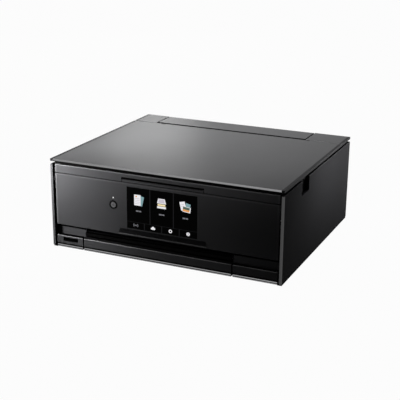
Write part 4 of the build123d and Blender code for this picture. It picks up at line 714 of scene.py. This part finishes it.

# %% [markdown]
# ## The panel's grip
# Under the screen the panel ends in a lip to pull it out by. Its sloping face looks away from the light and
# reads darker than the panel, and its nose catches the light. The slope gets a thin slab of painted shade
# that is made from its four corners, and the nose a slim bar with a painted highlight.

# %% Grip face and nose
grip_foot = in_mm(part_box("panel_front"))[0][2]
GRIP_TOP_HALF, GRIP_NOSE_HALF = 69.2, 71.0
GRIP_TOP, GRIP_NOSE, GRIP_REACH = 10.4, 3.5, 1.5
GRIP_PROUD = 0.08
# A darker charcoal, as painted shade on the sloping face.
grip_painted_shade = moulded_plastic("charcoal shaded grip", "#161617", "#151516", 0.32, 0.012, 2.0, 0.004)
slope = bmesh.new()
nose_y = face - GRIP_REACH
corners = [
    (-GRIP_NOSE_HALF, nose_y, GRIP_NOSE), (GRIP_NOSE_HALF, nose_y, GRIP_NOSE),
    (GRIP_TOP_HALF, face, GRIP_TOP), (-GRIP_TOP_HALF, face, GRIP_TOP)]
slope.faces.new([
    slope.verts.new((x * MM, (y - GRIP_PROUD) * MM, (grip_foot + z) * MM)) for x, y, z in corners])
bmesh.ops.solidify(slope, geom=slope.faces[:], thickness=GRIP_PROUD * MM)
add_piece("grip_face", slope, grip_painted_shade, "operation_panel")
face_bars(-GRIP_NOSE_HALF, GRIP_NOSE_HALF, "operation_panel", {
    "grip_nose_highlight": (0, -1.6, -1.0, grip_foot, 2.35, GRIP_NOSE, 0.2, pale_painted_highlight, "front_gloss")})

# %% [markdown]
# ## Bright edges of the front covers
# The strip under the lid and the three covers at the foot end in a top edge which catches the light as a
# thin line. A bevel alone is too narrow to show it from across a room, so each line is a slim rounded bar
# let into the edge, and its lighter colour is a painted highlight.

# %% Top edges
for cover, (left, right, body) in front_spans.items():
    face_bars(left, right, body, {
        "_top_highlight": (0.1, -PROUD, 0.7, block_top, -1.1, 0.03, 0.2, bright_painted_highlight, "front_gloss")}, cover)
face_bars(strip_left, strip_right, "scanner_unit", {
    "strip_top_highlight": (0.4, -PROUD, 1.4, strip_top, -1.2, 0.02, 0.25, pale_painted_highlight, "front_gloss")})

# %% [markdown]
# ## The lid's rim
# The lid is a satin plate between two dark side rails, and a plated strip over a black shade closes
# its front edge. The rails wrap the plate's edge, so they show on top and from the side. Each ends in
# a black tip at the front, and behind the lid it runs on as a second bar on the fixed rear cover.

# %% Lid rim
(_, lid_front, lid_under), (_, lid_back, lid_top) = in_mm(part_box("document_cover"))
(cover_inner, _, cover_bottom), (cover_outer, cover_back, cover_top) = in_mm(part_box("right_side_cover"))
HINGE_ROUND = 3.6
RAIL_PROUD, RAIL_WIDTH = 0.06, 4.4
RAIL_START, TIP_END, REAR_START, REAR_END = 0.5, 0.7, 1.2, 0.3
STRIP_PROUD, STRIP_BACK, STRIP_FOOT = 0.12, 0.9, 1.0
SHADE_PROUD, SHADE_BACK, SHADE_OVERLAP = 0.05, 2.0, 0.1
rail_inner, rail_outer = cover_outer - RAIL_WIDTH, cover_outer + RAIL_PROUD
rail_low, rail_top = lid_under - RAIL_PROUD, lid_top + RAIL_PROUD
rail_charcoal = moulded_plastic("charcoal satin rail", "#212122", "#1f1f20", 0.4, 0.012, 1.5, 0.006)
RAILS = {
    # name: front, back, body, finish, slot
    "lid_rail_": (lid_front + RAIL_START, lid_back - HINGE_ROUND, "lid", rail_charcoal, "side_textured"),
    "lid_tip_": (lid_front - RAIL_PROUD, lid_front + TIP_END, "lid", inner_black, "inner_black"),
    "rear_rail_": (lid_back + REAR_START, cover_back - REAR_END, "base", rail_charcoal, "side_textured"),
}
for side, way in SIDES:
    near, far = sorted((way * rail_inner, way * rail_outer))
    for name, (front, back, body, finish, slot) in RAILS.items():
        bar(name + side, (near, front, rail_low), (far, back, rail_top), LINE_ROUND, body, finish, slot)
bar("lid_front_strip", (-rail_inner, lid_front - STRIP_PROUD, lid_under + STRIP_FOOT),
    (rail_inner, lid_front + STRIP_BACK, lid_top), 0.3, "lid", lid_plating, "lid_grey")
bar("lid_front_shade", (-rail_inner, lid_front - SHADE_PROUD, lid_under - PROUD),
    (rail_inner, lid_front + SHADE_BACK, lid_under + STRIP_FOOT + SHADE_OVERLAP), 0.1, "lid", *PAINTED_SHADE)

# %% [markdown]
# ## The dark gap under the lid
# Between the lid and the strip one looks into a gap that reads dark. A long black bar of painted shade
# behind the strip's top edge keeps the gap dark from end to end.

# %% Gap under the lid
face_bars(strip_left, strip_right, "scanner_unit", {
    "scanner_front_shade": (0.5, 1.6, 4.0, strip_top, -0.5, 2.6, 0.3, *PAINTED_SHADE)})

# %% [markdown]
# ## The seam round the rear flap
# The flap over the rear paper feed stands a few millimetres clear of the lid, and that gap lies in shade, so
# it reads as a drawn line. Three thin black linings of painted shade on the flap's edges give that.

# %% Flap linings
(flap_left, flap_front, _), (flap_right, flap_back, _) = in_mm(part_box("rear_tray_cover"))
LINING, LINING_FRONT, LINING_SIDE, LINING_ROUND = 0.12, 0.9, 0.6, 0.05
LINING_FOOT, LINING_RISE = 0.1, 0.02
lining_low, lining_top = lid_under + LINING_FOOT, lid_top + LINING_RISE
bar("flap_shade_front", (flap_left, flap_front - LINING, lining_low),
    (flap_right, flap_front + LINING_FRONT, lining_top), LINING_ROUND, "rear_flap", *PAINTED_SHADE)
for side, edge, way in (("left", flap_left, -1), ("right", flap_right, 1)):
    near, far = sorted((edge + way * LINING, edge - way * LINING_SIDE))
    bar("flap_shade_" + side, (near, flap_front, lining_low),
        (far, flap_back - HINGE_ROUND, lining_top), LINING_ROUND, "rear_flap", *PAINTED_SHADE)

# %% [markdown]
# ## Front edges of the side covers
# Seen from the front, each side cover ends in a narrow upright face. Its outer corner reads as square
# on the left and as slanted on the right. The edge is polished and the big side is grained, so the
# edge gets its own sheet: a path across the face and round the corner, seen from above, that is
# extruded upwards and given a thickness.

# %% Cover front edges
CUT_DEPTH, EDGE_SHEET = 1.5, 0.2
SHEET_PROUD, SHEET_END = 0.1, 0.6
edge_satin = moulded_plastic("charcoal satin abs edge", "#29292a", "#272728", 0.3, 0.68, 2.0, 0.003)
edge_gloss = moulded_plastic("charcoal polished abs edge", "#2f2f30", "#2d2d2e", 0.3, 0.1, 2.0, 0.003)
sheet_low, sheet_high = cover_bottom + SHEET_END, cover_top - SHEET_END
for side, way, cut_width, finish in (("left", -1, 0.1, edge_gloss), ("right", 1, 1.0, edge_satin)):
    path = [
        (way * (cover_inner + SHEET_PROUD), lid_front - SHEET_PROUD),
        (way * (cover_outer - cut_width + SHEET_PROUD / 2), lid_front - SHEET_PROUD),
        (way * (cover_outer + SHEET_PROUD), lid_front + CUT_DEPTH - SHEET_PROUD / 2)]
    sheet = bmesh.new()
    feet = [sheet.verts.new((x * MM, y * MM, sheet_low * MM)) for x, y in path]
    line = [sheet.edges.new(pair) for pair in zip(feet, feet[1:])]
    grown = bmesh.ops.extrude_edge_only(sheet, edges=line)
    tops = [v for v in grown["geom"] if isinstance(v, bmesh.types.BMVert)]
    bmesh.ops.translate(sheet, verts=tops, vec=(0, 0, (sheet_high - sheet_low) * MM))
    bmesh.ops.solidify(sheet, geom=sheet.faces[:], thickness=EDGE_SHEET * MM)
    add_piece(side + "_cover_edge", sheet, finish, "base")

# %% [markdown]
# ## Painted shade under the side covers
# The covers end just above the table, and the gap under them lies in shadow. A black bar of painted shade
# closes it, so no light shows under the printer. It is one low bar on each side, nearly flush with the
# cover.

# %% Bottom rims
RIM_SET_IN, RIM_INSIDE, RIM_END = 0.05, 3.0, 1.5
RIM_LOW, RIM_RISE = 0.05, 0.4
for side, way in SIDES:
    near, far = sorted((way * (cover_inner - RIM_INSIDE), way * (cover_outer - RIM_SET_IN)))
    bar(side + "_bottom_shade", (near, lid_front + RIM_END, RIM_LOW),
        (far, cover_back - RIM_END, cover_bottom + RIM_RISE), LINE_ROUND, "base", *PAINTED_SHADE)

# %% [markdown]
# ## Marks round the platen
# With the lid up one sees the platen: a ruler runs along two sides of the glass, and a white arrow
# marks the corner for the sheet. Both are one thin print, drawn flat and extruded upwards.

# %% Platen marks
glass_left, glass_front, _ = in_mm(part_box("platen_glass"))[0]
frame_top = in_mm(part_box("scanner_top_frame"))[1][2]
RULER_START, RULER_GAP = 10, 1.5
TICK_PITCH, TICK_WIDTH = 10.0, 0.4
LONG_TICK, SHORT_TICK, LONG_EVERY = 6.0, 3.5, 5
TICKS_WIDE, TICKS_DEEP = 29, 20
ARROW = ((-2, -2), (-9, -4), (-4, -9))
marks = bmesh.new()


def flat_mark(x, y, width, length):
    """A rectangle that lies flat, round a middle."""
    size = Matrix.Diagonal((width * MM, length * MM, 1, 1))
    place = Matrix.Translation((x * MM, y * MM, 0))
    bmesh.ops.create_grid(marks, x_segments=1, y_segments=1, size=0.5, matrix=place @ size)


def tick_length(i):
    """Every fifth tick of the ruler is a long one."""
    return LONG_TICK if i % LONG_EVERY == 0 else SHORT_TICK


for i in range(TICKS_WIDE):
    x = glass_left + RULER_START + TICK_PITCH * i
    flat_mark(x, glass_front - RULER_GAP - tick_length(i) / 2, TICK_WIDTH, tick_length(i))
for i in range(TICKS_DEEP):
    y = glass_front + RULER_START + TICK_PITCH * i
    flat_mark(glass_left - RULER_GAP - tick_length(i) / 2, y, tick_length(i), TICK_WIDTH)
marks.faces.new([
    marks.verts.new(((glass_left + x) * MM, (glass_front + y) * MM, 0)) for x, y in ARROW])
thicken(marks, (0, 0, PRINT_THICKNESS))
bmesh.ops.translate(marks, verts=marks.verts, vec=(0, 0, frame_top * MM))
add_piece("platen_ruler", marks, white_film, "scanner_unit")

# %% [markdown]
# ## Buffers under the lid
# Four rubber buffers keep the lid off the frame, so that it shuts softly. Each is a short cone, and
# only the edge of its lower end is rounded, because the upper end is pressed into the lid.

# %% Lid buffers
BUFFER_HEIGHT, BUFFER_ROUND = 3.6, 0.6
BUFFER_RADII = 3.2, 4.0
BUFFER_PLACES = ((-164, -148), (164, -148), (-164, 100), (164, 100))
SAME_HEIGHT = 1e-5
buffers = bmesh.new()
for x, y in BUFFER_PLACES:
    place = Matrix.Translation((x * MM, y * MM, (lid_under - BUFFER_HEIGHT / 2) * MM))
    bmesh.ops.create_cone(
        buffers, cap_ends=True, segments=ROUND_SEGMENTS, radius1=BUFFER_RADII[0] * MM,
        radius2=BUFFER_RADII[1] * MM, depth=BUFFER_HEIGHT * MM, matrix=place)
low = min(v.co.z for v in buffers.verts)
foot_edges = [e for e in buffers.edges if all(v.co.z < low + SAME_HEIGHT for v in e.verts)]
bmesh.ops.bevel(
    buffers, geom=foot_edges, offset=BUFFER_ROUND * MM, affect="EDGES", segments=3,
    profile=0.5, material=-1)
add_piece("lid_buffers", buffers, black_rubber, "lid")

# %% [markdown]
# ## The scan head's lamp
# The scan head carries a light guide across the glass and a dark window beside it for the sensor.
# Both are slim bars on its top face, just under the glass.

# %% Scan head
(head_left, head_front, _), (head_right, head_back, head_top) = in_mm(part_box("scan_head"))
head_x = (head_left + head_right) / 2
HEAD_END, HEAD_SINK = 5, 0.3
HEAD_BARS = {
    # name: left and right from the head's middle, rise above it, rounding, finish, slot
    "scan_light_guide": (-5.5, -1.5, 0.5, 0.3, white_film, "backing_white"),
    "scan_sensor_window": (0.5, 5.0, 0.3, LINE_ROUND, touch_glass, "screen_black"),
}
for name, (left, right, rise, rounding, finish, slot) in HEAD_BARS.items():
    bar(name, (head_x + left, head_front + HEAD_END, head_top - HEAD_SINK),
        (head_x + right, head_back - HEAD_END, head_top + rise), rounding, "scan_carriage", finish, slot)

# %% [markdown]
# ## Colour labels on the ink tanks
# Each tank has a paper label in the colour of its ink, so that it goes into the right place. The
# labels are thin prints on the part of the tank that stands above the carriage.

# %% Ink labels
(tanks_left, tanks_front, _), (tanks_right, _, tanks_top) = in_mm(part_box("ink_tanks"))
holder_top = in_mm(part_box("carriage_body"))[1][2]
ink_colours = {
    "photo_black": "#2b2b2d", "grey": "#8d8f93", "cyan": "#1f9ac4",
    "magenta": "#bf2f78", "yellow": "#e6c92b", "pigment_black": "#101011"}
tank_pitch = (tanks_right - tanks_left) / len(ink_colours)
LABEL_WIDTH, LABEL_MARGIN = 9.0, 0.8
label_low, label_top = holder_top + LABEL_MARGIN, tanks_top - LABEL_MARGIN
for i, (ink, colour) in enumerate(ink_colours.items()):
    label = bmesh.new()
    plate(label, tanks_left + (i + 0.5) * tank_pitch, (label_low + label_top) / 2,
          LABEL_WIDTH, label_top - label_low)
    paper_label = moulded_plastic("label paper " + ink, colour, colour, 0.45, 0.3, 1.0, 0.004)
    add_print("ink_label_" + ink, label, tanks_front, 0, paper_label, "ink_carriage")

# %% [markdown]
# ## Recesses of the rear screws
# Four screws hold the rear cover. The CAD gives each a plain round head, and a dark cross print on it is
# painted shade for the driver's recess. The cross is one outline of twelve corners.

# %% Screw recesses
(screw_left, _, screw_low), (screw_right, screw_back, screw_high) = in_mm(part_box("case_screws"))
SCREW_HEAD_RADIUS = 2.8
# Half the length and half the width of an arm.
a, b = 1.7, 0.4
CROSS = ((a, -b), (a, b), (b, b), (b, a), (-b, a), (-b, b),
         (-a, b), (-a, -b), (-b, -b), (-b, -a), (b, -a), (b, -b))
crosses = bmesh.new()
for x in (screw_left + SCREW_HEAD_RADIUS, screw_right - SCREW_HEAD_RADIUS):
    for z in (screw_low + SCREW_HEAD_RADIUS, screw_high - SCREW_HEAD_RADIUS):
        outline(crosses, *((x + across, z + up) for across, up in CROSS))
add_print("screw_recess_shade", crosses, screw_back, 0, painted_shade_black, "base", way=1)

# %% [markdown]
# ## Chips on the main board
# The CAD board is a plain plate. Three chips and a row of connectors make it read as a board when the
# scanner is lifted. Each chip is a rounded black bar, and each connector an off-white one.

# %% Board parts
(board_x, board_y, _), (_, _, board_top) = in_mm(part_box("main_board"))
CHIPS = {
    # name: place from the board's corner, width, length, height
    "processor": (14, 30, 20, 20, 1.6),
    "memory": (38, 34, 10, 14, 1.2),
    "motor_driver": (16, 62, 14, 10, 1.4),
}
CHIP_SINK = 0.1
for chip, (x, y, width, length, height) in CHIPS.items():
    bar("board_" + chip, (board_x + x, board_y + y, board_top - CHIP_SINK),
        (board_x + x + width, board_y + y + length, board_top + height),
        LINE_ROUND, "base", inner_black, "inner_black")

CONNECTOR_START, CONNECTOR_PITCH, CONNECTOR_WIDTH = 6, 12, 8
CONNECTOR_FRONT, CONNECTOR_BACK, CONNECTOR_HEIGHT = 6, 11, 4.0
for i in range(4):
    start = board_x + CONNECTOR_START + CONNECTOR_PITCH * i
    bar(f"board_connector_{i + 1}", (start, board_y + CONNECTOR_FRONT, board_top - CHIP_SINK),
        (start + CONNECTOR_WIDTH, board_y + CONNECTOR_BACK, board_top + CONNECTOR_HEIGHT),
        0.4, "base", natural_acetal, "gear_white")

# %% [markdown]
# ## The studio
# The printer stands on a pale sheet under soft lamps. The camera is where the photograph was taken
# from: its place, its directions and its lens were worked out from the corners of the printer.

# %% Camera
CAMERA_PLACE = (0.5811, -1.3294, 0.5314)
SENSOR_WIDTH, LENS = 36.0, 85.92
camera_data = bpy.data.cameras.new("camera")
camera_data.sensor_width = SENSOR_WIDTH
camera_data.lens = LENS
camera = bpy.data.objects.new("camera", camera_data)
camera_right = Vector((0.9123, 0.4095, 0.0081))
camera_back = Vector((0.3866, -0.8674, 0.3135))
camera_up = camera_back.cross(camera_right)
camera.matrix_world = Matrix.Translation(CAMERA_PLACE) @ Matrix(
    (camera_right, camera_up, camera_back)).transposed().to_4x4()
bpy.context.scene.collection.objects.link(camera)
bpy.context.scene.camera = camera
print("camera at", CAMERA_PLACE, "with lens", LENS)

# %% [markdown]
# ## The table
# The printer stands on a plain pale sheet that runs on to the horizon. The sheet shows the shadow and
# is what the glossy covers mirror. It is lifted to nearly white for the camera and for rays from
# mirrors and through glass, so the picture's background stays white while the light that the sheet
# throws back at the printer stays low. One helper tells those rays from the rest.

# %% Floor
FLOOR_SIZE = 12.0
floor_mesh = bpy.data.meshes.new("floor")
sheet = bmesh.new()
bmesh.ops.create_grid(sheet, x_segments=1, y_segments=1, size=FLOOR_SIZE / 2)
sheet.to_mesh(floor_mesh)
sheet.free()
floor = bpy.data.objects.new("floor", floor_mesh)
bpy.context.scene.collection.objects.link(floor)


def seen_rays(owner):
    """A socket that is 1 for the camera's rays and those from mirrors and through glass, else 0."""
    path = add_node(owner, "ShaderNodeLightPath")
    seen = add_node(owner, "ShaderNodeMath", {"operation": "MAXIMUM"}, {
        0: path.outputs["Is Camera Ray"], 1: path.outputs["Is Glossy Ray"]})
    seen = add_node(owner, "ShaderNodeMath", {"operation": "MAXIMUM"}, {
        0: seen.outputs["Value"], 1: path.outputs["Is Transmission Ray"]})
    return seen.outputs["Value"]


FLOOR_LIFT = 0.97
paper, shader = start_material("pale studio paper", "#707070", 0.9)
share = add_node(paper, "ShaderNodeMath", {"operation": "MULTIPLY"}, {0: seen_rays(paper), 1: FLOOR_LIFT})
white = add_node(paper, "ShaderNodeEmission", inputs={"Strength": 1.0})
lifted = add_node(paper, "ShaderNodeMixShader", inputs={
    0: share.outputs["Value"], 1: shader.outputs["BSDF"], 2: white.outputs["Emission"]})
set_inputs(paper, paper.node_tree.nodes["Material Output"], {"Surface": lifted.outputs["Shader"]})
floor_mesh.materials.append(paper)
print("floor:", FLOOR_SIZE, "m wide")

# %% [markdown]
# ## The room
# Past the sheet the room is white for the same rays, and gives only a little fill light otherwise, so
# that the lamps alone shape the printer.

# %% World
WORLD_FILL = 0.02
world = bpy.data.worlds.new("studio")
world.use_nodes = True
bpy.context.scene.world = world
level = add_node(world, "ShaderNodeMapRange", inputs={
    "Value": seen_rays(world), "To Min": WORLD_FILL, "To Max": 1.0})
set_inputs(world, world.node_tree.nodes["Background"], {
    "Color": linear("#ffffff"), "Strength": level.outputs["Result"]})
print("fill light of the room:", WORLD_FILL)

# %% [markdown]
# ## Studio lamps
# A large soft lamp hangs overhead and one stands behind. Small ones with a narrow spread light the
# front and the right side, as cards and strip lights do in a studio. The narrow ones would sparkle in
# the polished trim, so they are hidden from mirrored rays. Each lamp is a round soft box that looks at
# its target, and a table holds them all.

# %% Lamps
WIDE = 180
lamps = {
    # name: place, target and size in metres, power in watts, spread in degrees
    "top_lamp": ((0, 0, 1.8), (0, 0, 0.07), 1.2, 18, WIDE),
    "back_lamp": ((-1.08, 1.9, 0.5), (-0.1, 0.1, 0.14), 0.4, 3.45, WIDE),
    "front_left_lamp": ((-0.5, -0.5, 0.19), (-0.25, -0.16, 0.165), 0.2, 2.1, 30),
    "upper_left_lamp": ((-0.42, -0.42, 0.22), (-0.24, -0.16, 0.18), 0.14, 0.3, 24),
    "front_middle_lamp": ((-0.02, -0.5, 0.36), (-0.02, -0.16, 0.24), 0.15, 0.34, 45),
    "front_right_lamp": ((0.12, -0.45, 0.38), (0.12, -0.16, 0.28), 0.15, 0.28, 45),
    "low_middle_lamp": ((-0.1, -0.55, 0.03), (0.06, -0.16, -0.01), 0.1, 0.022, 34),
    "low_left_lamp": ((-0.45, -0.45, 0.03), (-0.12, -0.16, -0.01), 0.1, 0.11, 20),
    "side_lamp": ((0.42, 0.36, 0.136), (0.186, 0.16, 0.14), 0.15, 0.56, 60),
    "side_middle_lamp": ((0.42, 0.14, 0.137), (0.186, 0.02, 0.16), 0.12, 0.17, 50),
}
for name, (place, target, size, power, spread) in lamps.items():
    data = bpy.data.lights.new(name, "AREA")
    data.shape = "DISK"
    data.size = size
    data.energy = power
    data.spread = math.radians(spread)
    lamp = bpy.data.objects.new(name, data)
    lamp.location = place
    lamp.rotation_euler = (Vector(place) - Vector(target)).to_track_quat("Z", "Y").to_euler()
    lamp.visible_glossy = spread == WIDE
    bpy.context.scene.collection.objects.link(lamp)
print("lamps:", ", ".join(lamps))

bpy.context.scene.view_settings.view_transform = "Standard"
